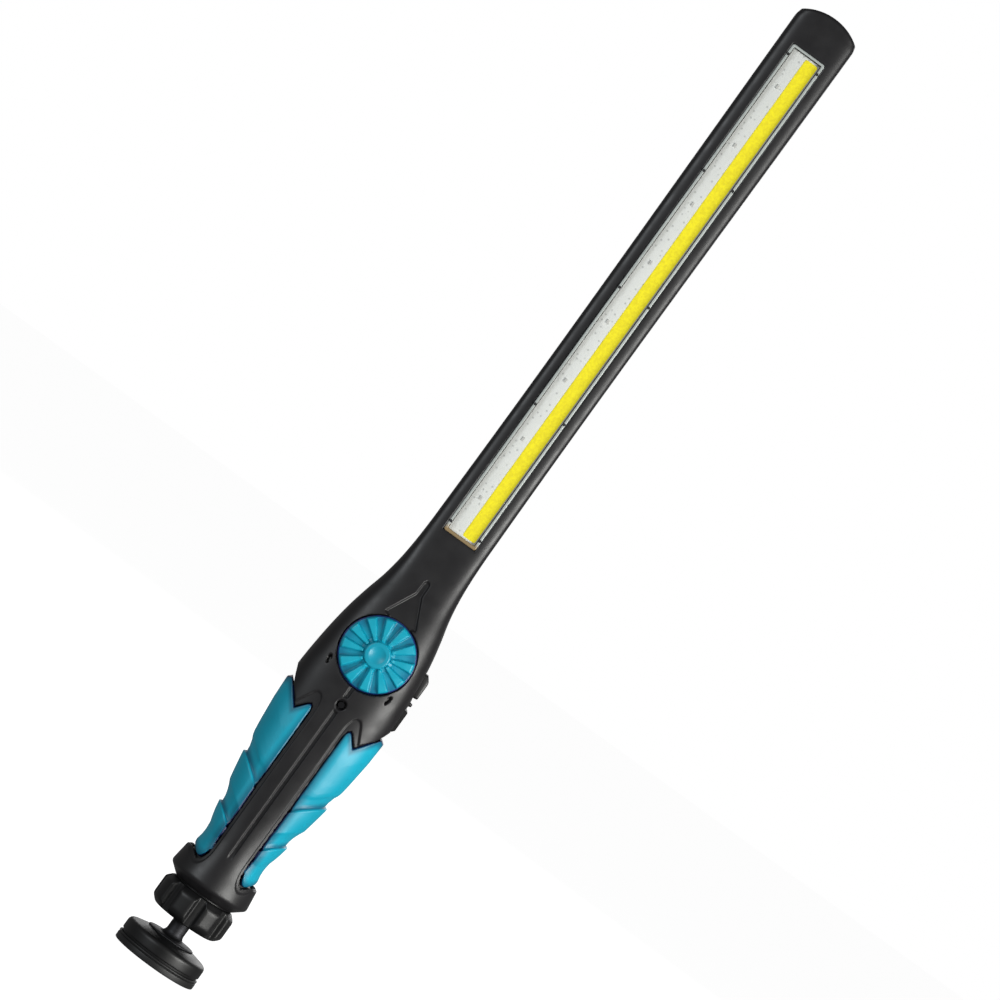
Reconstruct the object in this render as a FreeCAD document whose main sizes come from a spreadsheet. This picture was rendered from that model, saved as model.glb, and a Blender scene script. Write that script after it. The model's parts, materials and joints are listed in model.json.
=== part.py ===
import FreeCAD, Part
import math
import os
import re
import Sketcher

# Rechargeable stick work light.  +Z runs along the light from the magnetic foot to the tip, the lamp
# faces -Y, and +X is the side of the push button.  The origin is the centre of the magnet's face.

DRIVING_DIMENSIONS = [
    # the magnetic foot
    ("foot_radius", 16.9), ("foot_height", 3.4), ("groove_radius", 16.0), ("groove_top", 4.3),
    ("cap_radius", 16.6), ("cap_wall_top", 7.4), ("cap_rim_round", 1.5), ("cap_top", 10.6),
    ("cup_radius", 14.2), ("cup_wall", 0.9), ("cup_top", 6.6), ("magnet_height", 5.0),
    ("magnet_bore_radius", 4.2), ("face_plate_thick", 0.8),
    ("flange_radius", 9.6), ("flange_height", 0.6), ("stem_radius", 3.5), ("neck_radius", 3.2),
    ("stem_fillet", 2.5), ("spigot_radius", 5.0),
    ("stud_screw_radius", 1.5), ("stud_screw_head", 3.2), ("stud_screw_tip", 16.0),
    # the ball joint
    ("ball_z", 27.0), ("ball_radius", 8.0), ("ball_gap", 0.1),
    ("seat_outer_radius", 8.9), ("spring_inner_radius", 9.2), ("spring_outer_radius", 9.9),
    ("collet_radius", 11.0), ("collet_bottom", 20.6), ("collet_bore_radius", 9.4),
    ("collet_flange_radius", 13.0), ("collet_flange_z", 33.6), ("collet_flange_height", 2.2),
    ("collet_ceiling", 37.6), ("collet_top", 39.4), ("collet_slot", 1.2),
    ("nut_radius", 15.0), ("nut_bottom", 18.4), ("nut_top", 30.5), ("nut_chamfer", 2.3),
    ("nut_lip_height", 2.0), ("nut_lip_radius", 8.9), ("nut_bore_radius", 11.08),
    ("nut_flute_depth", 1.7), ("nut_flutes", 8), ("nut_angle", 6.0),
    # the flared end of the handle
    ("flare_bottom", 30.9), ("flare_bottom_radius", 12.3), ("flare_edge_z", 34.2),
    ("flare_radius", 16.4), ("flare_top", 43.3), ("flare_top_radius", 15.1), ("flare_round", 1.0),
    ("flare_floor", 33.5), ("flare_bore_radius", 11.1), ("flare_inner_radius", 13.2),
    # the housing
    ("grip_depth", 1.8), ("handle_wall", 3.1), ("head_wall", 2.0), ("grip_clearance", 0.1),
    ("housing_length", 418.5), ("tip_arc_radius", 22.3),
    ("spine_groove_half", 0.8), ("spine_groove_bottom", 48.0), ("spine_groove_top", 124.0),
    ("spine_groove_depth", 0.9),
    # the lamp
    ("window_half", 7.0), ("window_bottom", 187.8), ("window_top", 402.6), ("frame_width", 1.3),
    ("lens_front", 6.3), ("lens_thick", 1.2), ("frame_front", 6.45), ("fit_gap", 0.05),
    ("board_front", 4.5), ("board_thick", 1.0), ("strip_left", 0.0), ("strip_right", 5.3),
    ("strip_thick", 0.4), ("tape_thick", 0.2), ("sink_thick", 2.2), ("sink_half", 6.4),
    ("clip_radius", 0.55), ("clip_half_span", 6.4), ("clip_first_z", 191.7), ("clip_pitch", 51.65),
    # the dial
    ("dial_x", 0.3), ("dial_z", 137.35), ("dial_radius", 14.2), ("dial_recess_radius", 14.5),
    ("dial_floor", 11.2), ("dial_floor_thick", 1.8), ("dial_back", 11.45), ("dial_rim_front", 13.1),
    ("dial_hub_front", 15.6), ("dial_hub_radius", 4.75),
    ("dial_dimple_radius", 3.1), ("dial_dimple_depth", 0.7),
    ("dial_rib_height", 1.5), ("dial_ribs", 12), ("dial_angle", 76.1),
    ("shaft_radius", 3.0), ("shaft_gap", 0.06),
    # the push button and the charging port on the +X side
    ("side_face", 21.6), ("button_bottom", 132.0), ("button_top", 141.7), ("button_half", 3.6),
    ("button_gap", 0.25), ("button_back", 17.6),
    ("cover_bottom", 117.6), ("cover_top", 126.7), ("cover_half", 4.5), ("cover_back", 19.9),
    ("cover_pin_y", 5.4), ("cover_pin_radius", 0.4), ("cover_knuckle_radius", 0.82),
    ("pip_radius", 0.7), ("pip_z", 129.25), ("pip_root", 19.0), ("pip_face", 21.4),
    ("port_half_long", 3.9), ("port_half_thick", 1.4),
    # inside
    ("cell_radius", 9.2), ("cell_bottom", 41.9), ("cell_length", 65.0), ("cradle_radius", 9.95),
    ("pcb_front", 1.4), ("pcb_thick", 1.6), ("pcb_bottom", 111.0), ("pcb_top", 146.5),
    ("pcb_half", 10.4), ("pcb_tongue", 16.3),
    ("status_x", 0.3), ("status_z", 115.4), ("status_radius", 1.2), ("status_bezel_radius", 1.9),
    ("screw_radius", 1.1), ("screw_head_radius", 2.2), ("screw_head_height", 1.5),
    ("boss_radius", 2.8),
]

# Stations of the housing: height, half width, half depth and squareness of the section, which is a
# superellipse.  The section is a fat oval at the handle and a flat rounded bar along the lamp.
HOUSING_STATIONS = [
    (41.5, 13.4, 15.0, 2.10), (50.0, 12.8, 14.6, 2.10), (62.0, 14.2, 14.1, 2.20),
    (75.0, 16.8, 14.0, 2.35), (90.0, 19.2, 14.0, 2.50), (104.0, 20.4, 14.0, 2.65),
    (118.0, 20.95, 14.0, 2.80), (128.0, 20.4, 14.0, 2.90), (138.0, 19.4, 13.9, 3.00),
    (146.0, 18.2, 13.2, 3.10), (154.0, 16.5, 12.0, 3.30), (162.0, 14.5, 10.4, 3.60),
    (170.0, 13.2, 8.9, 4.00), (178.0, 12.5, 7.6, 4.50), (187.0, 12.15, 6.7, 4.90),
    (196.0, 12.05, 6.5, 5.00),
]
BAR_END = (420.0, 12.5, 6.5, 5.00)
HANDLE_HALF_DEPTH = 14.0

# The grip is three overlapping feathers.  Each has its own stations: height, half width, half depth.
UPPER_FEATHER = [(66.0, 16.1, 13.7), (82.0, 17.2, 13.9), (89.0, 19.3, 14.0), (100.0, 20.5, 14.0),
                 (116.0, 21.4, 14.0)]
MIDDLE_FEATHER = [(54.0, 13.4, 13.7), (63.0, 14.1, 13.9), (70.0, 16.6, 14.2), (82.0, 18.5, 14.4)]
LOWER_FEATHER = [(38.0, 13.4, 14.2), (45.5, 13.3, 14.2), (50.0, 12.8, 14.2), (55.5, 13.8, 14.2),
                 (62.0, 15.1, 14.3)]
FEATHER_SQUARENESS = 2.4

# Corners of the grip's outline in the XZ plane, on the +X side, from the lower tip round.
# The pocket follows the grip, but leaves an open notch above the grip's outer tip.
INNER_EDGE = [(9.9, 41.0), (7.9, 44.8), (7.5, 47.0), (7.5, 106.5), (7.9, 108.6), (8.8, 109.5),
              (9.8, 108.9), (13.2, 104.9), (18.3, 111.6)]
OUTER_TIP = [(19.8, 113.2), (21.2, 112.4), (24.0, 112.4)]
NOTCH_TOP = [(18.6, 112.4), (19.8, 114.6), (21.1, 117.5), (24.0, 117.5)]
LOWER_EDGE = [(24.0, 43.7), (13.9, 44.0)]
GRIP_OUTLINE = INNER_EDGE + OUTER_TIP + LOWER_EDGE
POCKET_OUTLINE = INNER_EDGE + NOTCH_TOP + LOWER_EDGE
# The feathers end along parallel lines: height on the centre plane, and rise per unit of x.
UPPER_STEP_HEIGHT = 67.6
LOWER_STEP_HEIGHT = 51.1
STEP_SLOPE = 0.74

doc = FreeCAD.newDocument("WorkLight")
sheet = doc.addObject("Spreadsheet::Sheet", "Sizes")
for row, (alias, value) in enumerate(DRIVING_DIMENSIONS, start=1):
    sheet.set(f"A{row}", alias)
    sheet.set(f"B{row}", str(value))
    sheet.setAlias(f"B{row}", alias)
doc.recompute()

nodes = []


def size(alias):
    """The value of one cell of the sheet."""
    return float(sheet.get(alias))


def bound(expression):
    """The same expression with each bare word turned into a reference to the sheet."""
    return re.sub(r"[a-z][a-z_]*", lambda word: "Sizes." + word.group(0), str(expression))


def number(expression):
    """The value of an expression of sheet words."""
    return float(sheet.evalExpression(bound(expression)))


def node(item, name):
    """Keeps a finished object as a sub-part under its own name."""
    item.Label = name
    nodes.append(item)
    return item


def place(item, position, axis=(0, 0, 1), angle=0):
    """Puts an object at a position given as sheet expressions, turned by a fixed angle."""
    turn = FreeCAD.Rotation(FreeCAD.Vector(*axis), angle)
    item.Placement = FreeCAD.Placement(FreeCAD.Vector(0, 0, 0), turn)
    for letter, expression in zip("xyz", position):
        item.setExpression("Placement.Base." + letter, bound(expression))


def box(name, low, high):
    """A box between two corners, each given as three sheet expressions."""
    item = doc.addObject("Part::Box", name)
    for side, start, end in zip(("Length", "Width", "Height"), low, high):
        item.setExpression(side, bound(f"({end}) - ({start})"))
    place(item, low)
    return item


def cylinder(name, radius, start, length, along="z"):
    """A cylinder from a start point along +X, +Y or +Z."""
    item = doc.addObject("Part::Cylinder", name)
    item.setExpression("Radius", bound(radius))
    item.setExpression("Height", bound(length))
    turns = {"x": ((0, 1, 0), 90), "y": ((1, 0, 0), -90), "z": ((0, 0, 1), 0)}
    place(item, start, *turns[along])
    return item


def ball(name, radius, centre):
    item = doc.addObject("Part::Sphere", name)
    item.setExpression("Radius", bound(radius))
    place(item, centre)
    return item


def fuse(name, items):
    item = doc.addObject("Part::MultiFuse", name)
    item.Shapes = items
    return item


def cut(name, base, tool):
    item = doc.addObject("Part::Cut", name)
    item.Base = base
    item.Tool = tool
    return item


def common(name, items):
    item = doc.addObject("Part::MultiCommon", name)
    item.Shapes = items
    return item


def origin_plane(body, role):
    return [plane for plane in body.Origin.OriginFeatures if plane.Role == role][0]


def outline_sketch(body, name, role, corners):
    """A closed outline.  A corner is (u, v), or (u, v, mid_u, mid_v) where an arc leads on from it."""
    sketch = body.newObject("Sketcher::SketchObject", name)
    sketch.AttachmentSupport = (origin_plane(body, role), [""])
    sketch.MapMode = "FlatFace"
    points = [FreeCAD.Vector(number(corner[0]), number(corner[1]), 0) for corner in corners]
    starts = []
    for index, corner in enumerate(corners):
        first = points[index]
        last = points[(index + 1) % len(points)]
        if len(corner) == 2:
            sketch.addGeometry(Part.LineSegment(first, last))
            starts.append(1)
            continue
        middle = FreeCAD.Vector(number(corner[2]), number(corner[3]), 0)
        arc = Part.Arc(first, middle, last).toShape().Curve
        sketch.addGeometry(Part.Arc(first, middle, last))
        turn = (middle - first).cross(last - middle).z
        starts.append(1 if turn > 0 else 2)
        sketch.addConstraint(Sketcher.Constraint("Radius", index, arc.Radius))
    for index, corner in enumerate(corners):
        following = (index + 1) % len(corners)
        sketch.addConstraint(Sketcher.Constraint("Coincident", index, 3 - starts[index],
                                                 following, starts[following]))
    for index, corner in enumerate(corners):
        for kind, expression, value in (("DistanceX", corner[0], points[index].x),
                                        ("DistanceY", corner[1], points[index].y)):
            place_at = Sketcher.Constraint(kind, -1, 1, index, starts[index], value)
            sketch.setExpression(f"Constraints[{sketch.addConstraint(place_at)}]", bound(expression))
    return sketch


def turned(name, corners):
    """A body turned about the Z axis from an outline of (radius, height) corners."""
    body = doc.addObject("PartDesign::Body", name)
    sketch = outline_sketch(body, name + "_profile", "XZ_Plane", corners)
    turn = body.newObject("PartDesign::Revolution", name + "_turn")
    turn.Profile = sketch
    turn.ReferenceAxis = (sketch, ["V_Axis"])
    turn.Angle = 360
    doc.recompute()
    return body


def padded(name, role, corners, length, offset="0", both=False):
    """A body padded from an outline in one of its own origin planes, shifted along the normal."""
    body = doc.addObject("PartDesign::Body", name)
    sketch = outline_sketch(body, name + "_outline", role, corners)
    sketch.setExpression("AttachmentOffset.Base.z", bound(offset))
    pad = body.newObject("PartDesign::Pad", name + "_pad")
    pad.Profile = sketch
    pad.Midplane = both
    pad.setExpression("Length", bound(length))
    doc.recompute()
    return body


def rounded(body, name, rims, radius):
    """Fillets the circular edges of a turned body that have the given radii and heights."""
    base = body.Tip
    edges = []
    for index, edge in enumerate(base.Shape.Edges, start=1):
        if not isinstance(edge.Curve, Part.Circle):
            continue
        for rim_radius, rim_z in rims:
            same_radius = abs(edge.Curve.Radius - number(rim_radius)) < 0.01
            if same_radius and abs(edge.Curve.Center.z - number(rim_z)) < 0.01:
                edges.append(f"Edge{index}")
    fillet = body.newObject("PartDesign::Fillet", name)
    fillet.Base = (base, edges)
    fillet.setExpression("Radius", bound(radius))
    body.Tip = fillet
    doc.recompute()


# ---------------------------------------------------------------- the magnetic foot

def make_foot():
    inner_radius = "cup_radius - cup_wall - fit_gap"
    plate = turned("face_plate", [(0, 0), (inner_radius, 0), (inner_radius, "face_plate_thick"),
                                  (0, "face_plate_thick")])
    node(plate, "face_plate")
    magnet = turned("magnet_ring", [("magnet_bore_radius", "face_plate_thick"),
                                    (inner_radius, "face_plate_thick"),
                                    (inner_radius, "magnet_height"),
                                    ("magnet_bore_radius", "magnet_height")])
    node(magnet, "magnet_ring")

    cup = turned("magnet_cup", [("cup_radius - cup_wall", 0), ("cup_radius", 0),
                                ("cup_radius", "cup_top"),
                                ("stud_screw_radius + 0.1", "cup_top"),
                                ("stud_screw_radius + 0.1", "magnet_height"),
                                ("cup_radius - cup_wall", "magnet_height")])
    node(cup, "magnet_cup")

    boot = turned("rubber_boot", [("cup_radius", 0), ("foot_radius - 0.5", 0), ("foot_radius", 0.5),
                                  ("foot_radius", 2.2), ("foot_radius - 0.35", 2.4),
                                  ("foot_radius", 2.6),
                                  ("foot_radius", "foot_height - 0.3"),
                                  ("foot_radius - 0.3", "foot_height"),
                                  ("cup_radius", "foot_height")])
    node(boot, "rubber_boot")

    cap = turned("base_cap", [("cup_radius", "foot_height"), ("groove_radius", "foot_height"),
                              ("groove_radius", "groove_top"), ("cap_radius - 0.3", "groove_top"),
                              ("cap_radius", "groove_top + 0.3"),
                              ("cap_radius", "cap_wall_top + 1.5"),
                              ("flange_radius", "cap_top"),
                              ("spigot_radius", "cap_top"), ("spigot_radius", "cap_top - 2.6"),
                              ("stud_screw_radius + 0.1", "cap_top - 2.6"),
                              ("stud_screw_radius + 0.1", "cup_top"), ("cup_radius", "cup_top")])
    rounded(cap, "cap_rim", [("cap_radius", "cap_wall_top + 1.5")], "cap_rim_round")
    node(cap, "base_cap")

    fillet_z = "cap_top + flange_height + stem_fillet"
    stem = turned("stud_stem", [("stud_screw_radius + 0.05", "cap_top - 2.6"),
                                ("spigot_radius", "cap_top - 2.6"), ("spigot_radius", "cap_top"),
                                ("flange_radius", "cap_top"),
                                ("flange_radius - 0.3", "cap_top + flange_height"),
                                ("stem_radius + stem_fillet", "cap_top + flange_height",
                                 "stem_radius + stem_fillet * 0.2929",
                                 "cap_top + flange_height + stem_fillet * 0.2929"),
                                ("stem_radius", fillet_z), ("stem_radius", "ball_z - 9.6"),
                                ("neck_radius", "ball_z - 8.2"), ("neck_radius", "ball_z - 6"),
                                (0, "ball_z - 6"), (0, "stud_screw_tip + 0.5"),
                                ("stud_screw_radius + 0.05", "stud_screw_tip")])
    sphere = ball("stud_ball", "ball_radius", (0, 0, "ball_z"))
    node(fuse("ball_stud", [stem, sphere]), "ball_stud")

    shank = cylinder("stud_screw_shank", "stud_screw_radius", (0, 0, 3.8), "stud_screw_tip - 4.2")
    head = turned("stud_screw_head_body", [(0, 2.0), (1.1, 2.0), (1.1, 1.0), ("stud_screw_head", 1.0),
                                           ("stud_screw_head", 3.4), ("stud_screw_head - 0.6", 4.0),
                                           (0, 4.0)])
    node(fuse("stud_screw", [shank, head]), "stud_screw")

    washer = turned("screw_washer", [("stud_screw_radius + 0.1", 4.1), ("stud_screw_head", 4.1),
                                     ("stud_screw_head + 0.3", 4.95),
                                     ("stud_screw_radius + 0.1", 4.95)])
    node(washer, "screw_washer")


# ---------------------------------------------------------------- the ball joint

def spherical_cap(name, inner, outer, from_angle, to_angle):
    """A turned ring between two spheres about the ball's centre, between two angles from +Z."""
    def point(radius, angle):
        return (f"({radius}) * {math.sin(math.radians(angle)):.6f}",
                f"ball_z + ({radius}) * {math.cos(math.radians(angle)):.6f}")

    middle = (from_angle + to_angle) / 2
    outer_start = point(outer, from_angle)
    outer_end = point(outer, to_angle)
    inner_end = point(inner, to_angle)
    inner_start = point(inner, from_angle)
    return turned(name, [inner_end + point(inner, middle), inner_start,
                         outer_start + point(outer, middle), outer_end])


def make_joint():
    seat = spherical_cap("ball_seat", "ball_radius + ball_gap", "seat_outer_radius", 8, 35)
    node(seat, "ball_seat")
    spring = spherical_cap("seat_spring", "spring_inner_radius", "spring_outer_radius", 12, 38)
    node(spring, "seat_spring")

    # the collet: a slotted cup that the nut squeezes round the ball
    grip_radius = "(ball_radius + ball_gap)"
    lip = math.radians(52)
    middle = math.radians(71)
    body = turned("collet_body", [
        ("collet_radius - 1.6", "collet_bottom"), ("collet_radius", "collet_bottom + 1.2"),
        ("collet_radius", "collet_flange_z"), ("collet_flange_radius", "collet_flange_z"),
        ("collet_flange_radius", "collet_flange_z + collet_flange_height"),
        ("collet_radius", "collet_flange_z + collet_flange_height"),
        ("collet_radius", "collet_top - 0.6"), ("collet_radius - 0.6", "collet_top"),
        (0, "collet_top"), (0, "collet_ceiling"), ("collet_bore_radius - 2.6", "collet_ceiling"),
        ("collet_bore_radius", "collet_ceiling - 2.6"), ("collet_bore_radius", "ball_z + 1.6"),
        (grip_radius, "ball_z", f"{grip_radius} * {math.sin(middle):.6f}",
         f"ball_z - {grip_radius} * {math.cos(middle):.6f}"),
        (f"{grip_radius} * {math.sin(lip):.6f}", f"ball_z - {grip_radius} * {math.cos(lip):.6f}"),
    ])
    half_slot = "collet_slot / 2"
    across = box("collet_slot_x", ("-20", f"-({half_slot})", "collet_bottom - 1"),
                 ("20", half_slot, "ball_z - 1"))
    along = box("collet_slot_y", (f"-({half_slot})", "-20", "collet_bottom - 1"),
                (half_slot, "20", "ball_z - 1"))
    node(cut("socket_collet", body, fuse("collet_slots", [across, along])), "socket_collet")


def make_nut():
    body = turned("clamp_nut", [
        ("nut_lip_radius", "nut_bottom"), ("nut_radius - nut_chamfer", "nut_bottom"),
        ("nut_radius", "nut_bottom + nut_chamfer"), ("nut_radius", "nut_top - nut_chamfer"),
        ("nut_radius - nut_chamfer", "nut_top"), ("nut_bore_radius", "nut_top"),
        ("nut_bore_radius", "nut_bottom + nut_lip_height"),
        ("nut_lip_radius", "nut_bottom + nut_lip_height")])
    sketch = outline_sketch(body, "flute_outline", "XY_Plane",
                            [("nut_radius - nut_flute_depth", -1.5), ("nut_radius + 1", -3.1),
                             ("nut_radius + 1", 3.1), ("nut_radius - nut_flute_depth", 1.5)])
    flute = body.newObject("PartDesign::Pocket", "flute")
    flute.Profile = sketch
    flute.Midplane = True
    flute.setExpression("Length", bound("nut_top * 4"))
    doc.recompute()
    pattern = body.newObject("PartDesign::PolarPattern", "flutes")
    pattern.Originals = [flute]
    pattern.Axis = (sketch, ["N_Axis"])
    pattern.Angle = 360
    pattern.setExpression("Occurrences", bound("nut_flutes"))
    body.Tip = pattern
    place(body, (0, 0, 0), (0, 0, 1), size("nut_angle"))
    doc.recompute()
    node(body, "clamp_nut")


# ---------------------------------------------------------------- the housing

def section_wire(height, half_width, half_depth, squareness):
    """A closed smooth superellipse in a plane of constant height."""
    points = []
    for step in range(32):
        angle = 2 * math.pi * step / 32
        across = abs(math.cos(angle)) ** (2 / squareness) * math.copysign(1, math.cos(angle))
        along = abs(math.sin(angle)) ** (2 / squareness) * math.copysign(1, math.sin(angle))
        points.append(FreeCAD.Vector(half_width * across, half_depth * along, height))
    curve = Part.BSplineCurve()
    curve.interpolate(Points=points, PeriodicFlag=True, Parameters=[float(k) for k in range(33)])
    return Part.Wire([curve.toShape()])


def loft(stations, ruled=False):
    return Part.makeLoft([section_wire(*station) for station in stations], True, ruled)


def housing_wall(height):
    """Wall thickness: thick where the grips sink in, thinner along the head and the lamp."""
    share = min(max((height - 110.0) / 20.0, 0.0), 1.0)
    return size("handle_wall") + (size("head_wall") - size("handle_wall")) * share


def shrunk(stations, wall):
    return [(z, width - wall(z), depth - wall(z), square) for z, width, depth, square in stations]


def prism(corners, low_y=-25.0, high_y=25.0):
    """A straight prism along Y from corners in the XZ plane."""
    points = [FreeCAD.Vector(x, low_y, z) for x, z in corners]
    face = Part.Face(Part.makePolygon(points + points[:1]))
    return face.extrude(FreeCAD.Vector(0, high_y - low_y, 0))


def mirrored(corners):
    return [(-x, z) for x, z in corners]


def revolved(corners):
    """A solid turned about Z from (radius, height) corners."""
    points = [FreeCAD.Vector(radius, 0, z) for radius, z in corners]
    face = Part.Face(Part.makePolygon(points + points[:1]))
    return face.revolve(FreeCAD.Vector(0, 0, 0), FreeCAD.Vector(0, 0, 1), 360)


def rod(radius, x, z, low_y, high_y):
    """A solid cylinder along Y."""
    return Part.makeCylinder(radius, high_y - low_y, FreeCAD.Vector(x, low_y, z),
                             FreeCAD.Vector(0, 1, 0))


def flat_box(low, high):
    sides = [end - start for start, end in zip(low, high)]
    return Part.makeBox(*sides, FreeCAD.Vector(*low))


def flare_solid():
    """The flared end of the handle, a turned collar with a rounded upper corner."""
    return revolved([(0, size("flare_bottom")), (size("flare_bottom_radius"), size("flare_bottom")),
                     (size("flare_radius"), size("flare_edge_z")),
                     (size("flare_top_radius"), size("flare_top") - size("flare_round")),
                     (size("flare_top_radius") - 0.3 * size("flare_round"),
                      size("flare_top") - 0.3 * size("flare_round")),
                     (size("flare_top_radius") - size("flare_round"), size("flare_top")),
                     (0, size("flare_top"))])


def tip_outline():
    """The lamp bar's outline near its tip: straight sides ended by one wide arc."""
    top = size("housing_length")
    radius = size("tip_arc_radius")
    half = BAR_END[1]
    shoulder = top - radius + math.sqrt(radius * radius - half * half)
    left = FreeCAD.Vector(-half + 0.4, -25, shoulder + 0.4)
    right = FreeCAD.Vector(half - 0.4, -25, shoulder + 0.4)
    outside = [(half + 0.6, shoulder - 1.2), (40, shoulder - 1.2), (40, 0), (-40, 0),
               (-40, shoulder - 1.2), (-half - 0.6, shoulder - 1.2)]
    edges = [Part.Arc(left, FreeCAD.Vector(0, -25, top), right).toShape()]
    corners = [right] + [FreeCAD.Vector(x, -25, z) for x, z in outside] + [left]
    for first, last in zip(corners, corners[1:]):
        edges.append(Part.LineSegment(first, last).toShape())
    return Part.Face(Part.Wire(edges)).extrude(FreeCAD.Vector(0, 50, 0))


def screw_places():
    """Each housing screw: x, z, and the depth at which its head seats."""
    return [(-13.6, 121.0, 6.5), (-12.4, 150.0, 5.5), (12.4, 150.0, 5.5), (0.0, 181.5, 3.4),
            (0.0, 409.0, 3.4)]


def housing_solids():
    """The closed outer body, the core under the grips, and the cavity."""
    tip = tip_outline()
    bar = loft([HOUSING_STATIONS[-1], BAR_END], True).common(tip)
    outer = loft(HOUSING_STATIONS).fuse(bar).fuse(flare_solid())
    core_stations = shrunk(HOUSING_STATIONS[:8], lambda z: size("grip_depth"))
    lowest = core_stations[0]
    core = loft([(36.0, lowest[1] - 0.4) + lowest[2:]] + core_stations)
    cavity_stations = shrunk(HOUSING_STATIONS, housing_wall)
    cavity_end = shrunk([BAR_END], housing_wall)[0]
    bar_cavity = loft([cavity_stations[-1], (size("housing_length") - 4.5,) + cavity_end[1:]], True)
    collar = Part.makeCylinder(size("flare_inner_radius"), 6.3,
                               FreeCAD.Vector(0, 0, size("flare_floor")))
    cavity = loft([(39.7,) + cavity_stations[0][1:]] + cavity_stations[1:])
    cavity = cavity.fuse(collar).fuse(bar_cavity)
    return outer, core, cavity


def make_housing():
    outer, core, cavity = housing_solids()
    shell = outer
    for outline in (POCKET_OUTLINE, mirrored(POCKET_OUTLINE)):
        shell = shell.cut(prism(outline).cut(core))

    dial_x, dial_z = size("dial_x"), size("dial_z")
    floor = size("dial_floor")
    floor_back = floor - size("dial_floor_thick")
    shell = shell.cut(rod(size("dial_recess_radius"), dial_x, dial_z, -25, -floor))
    hollow = cavity.cut(rod(size("dial_recess_radius") + 1.5, dial_x, dial_z, -25, -floor_back))

    half = size("spine_groove_half")
    groove_floor = HANDLE_HALF_DEPTH - size("spine_groove_depth")
    shell = shell.cut(flat_box((-half, -16, size("spine_groove_bottom")),
                               (half, -groove_floor, size("spine_groove_top"))))
    bosses = []
    bores = []
    for x, z, seat in screw_places():
        reach = HANDLE_HALF_DEPTH if z < 160 else BAR_END[2] - 0.5
        bosses.append(rod(size("boss_radius"), x, z, -reach, reach).common(outer))
        bores.append(rod(size("screw_head_radius") + 0.3, x, z, seat, 25))
        bores.append(rod(size("screw_radius") + 0.05, x, z, -min(seat, 4.2), seat + 1))
    bosses.append(rod(size("status_bezel_radius") + 1.0, size("status_x"), size("status_z"),
                      -HANDLE_HALF_DEPTH, -9).common(outer))
    bosses = bosses[0].multiFuse(bosses[1:])
    shell = shell.cut(hollow.cut(bosses))
    for bore in bores:
        shell = shell.cut(bore)

    shell = shell.cut(Part.makeCylinder(size("flare_bore_radius"), 4,
                                        FreeCAD.Vector(0, 0, size("flare_bottom") - 1)))
    shell = shell.cut(rod(size("shaft_radius") + size("shaft_gap"), dial_x, dial_z, -25, 0))
    shell = shell.cut(rod(size("status_radius") + size("fit_gap"), size("status_x"),
                          size("status_z"), -25, -2))
    shell = shell.cut(rod(size("status_bezel_radius"), size("status_x"), size("status_z"),
                          -25, -13.3))
    gap = size("fit_gap")
    window = size("window_half") + gap
    shell = shell.cut(flat_box((-window, -10, size("window_bottom") - gap),
                               (window, -4.0, size("window_top") + gap)))
    gap = size("button_gap")
    shell = shell.cut(flat_box((size("button_back") - 1.8, -size("button_half") - gap,
                                size("button_bottom") - gap),
                               (25, size("button_half") + gap, size("button_top") + gap)))
    shell = shell.cut(flat_box((size("cover_back") - 0.3, -size("cover_half") - 0.25,
                                size("cover_bottom") - 0.25),
                               (25, size("cover_pin_y") + 1.1, size("cover_top") + 0.25)))
    port_z = (size("cover_bottom") + size("cover_top")) / 2
    shell = shell.cut(flat_box((15.0, -size("port_half_thick") - 0.1,
                                port_z - size("port_half_long") - 0.1),
                               (25, size("port_half_thick") + 0.1,
                                port_z + size("port_half_long") + 0.1)))

    pip = Part.makeCylinder(size("pip_radius"), size("pip_face") - size("pip_root"),
                            FreeCAD.Vector(size("pip_root"), 0, size("pip_z")),
                            FreeCAD.Vector(1, 0, 0))
    shell = shell.fuse(pip)

    front = shell.common(flat_box((-40, -40, 0), (40, 0, 450)))
    rear = shell.common(flat_box((-40, 0, 0), (40, 40, 450)))
    for name, half_shell in (("front_shell", front), ("rear_shell", rear)):
        item = doc.addObject("Part::Feature", name)
        item.Shape = biggest(half_shell)
        item.Placement = FreeCAD.Placement()
        node(item, name)
    return outer, core


def biggest(shape):
    """The largest solid of a shape, without the crumbs a boolean can leave."""
    return max(shape.Solids, key=lambda solid: solid.Volume)


def make_grips(core):
    """The two soft grips: three feathers in the pocket of the housing."""
    gap = size("grip_clearance")
    lower_end = [(0, LOWER_STEP_HEIGHT), (30, LOWER_STEP_HEIGHT + 30 * STEP_SLOPE)]
    upper_end = [(0, UPPER_STEP_HEIGHT), (30, UPPER_STEP_HEIGHT + 30 * STEP_SLOPE)]
    low = [(0, 20), (30, 20)] + lower_end[::-1]
    middle = lower_end + upper_end[::-1]
    high = upper_end + [(30, 130), (0, 130)]
    feathers = []
    for stations, region in ((LOWER_FEATHER, low), (MIDDLE_FEATHER, middle), (UPPER_FEATHER, high)):
        body = loft([station + (FEATHER_SQUARENESS,) for station in stations])
        feathers.append(body.common(prism(region).fuse(prism(mirrored(region)))))
    feather = feathers[0].multiFuse(feathers[1:])
    for name, outline in (("grip_right", GRIP_OUTLINE), ("grip_left", mirrored(GRIP_OUTLINE))):
        points = [FreeCAD.Vector(x, 0, z) for x, z in outline]
        inset = Part.Face(Part.makePolygon(points + points[:1])).makeOffset2D(-gap, 2)
        inset.translate(FreeCAD.Vector(0, -25, 0))
        block = inset.extrude(FreeCAD.Vector(0, 50, 0))
        item = doc.addObject("Part::Feature", name)
        item.Shape = biggest(feather.common(block).cut(core))
        item.Placement = FreeCAD.Placement()
        node(item, name)


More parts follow.
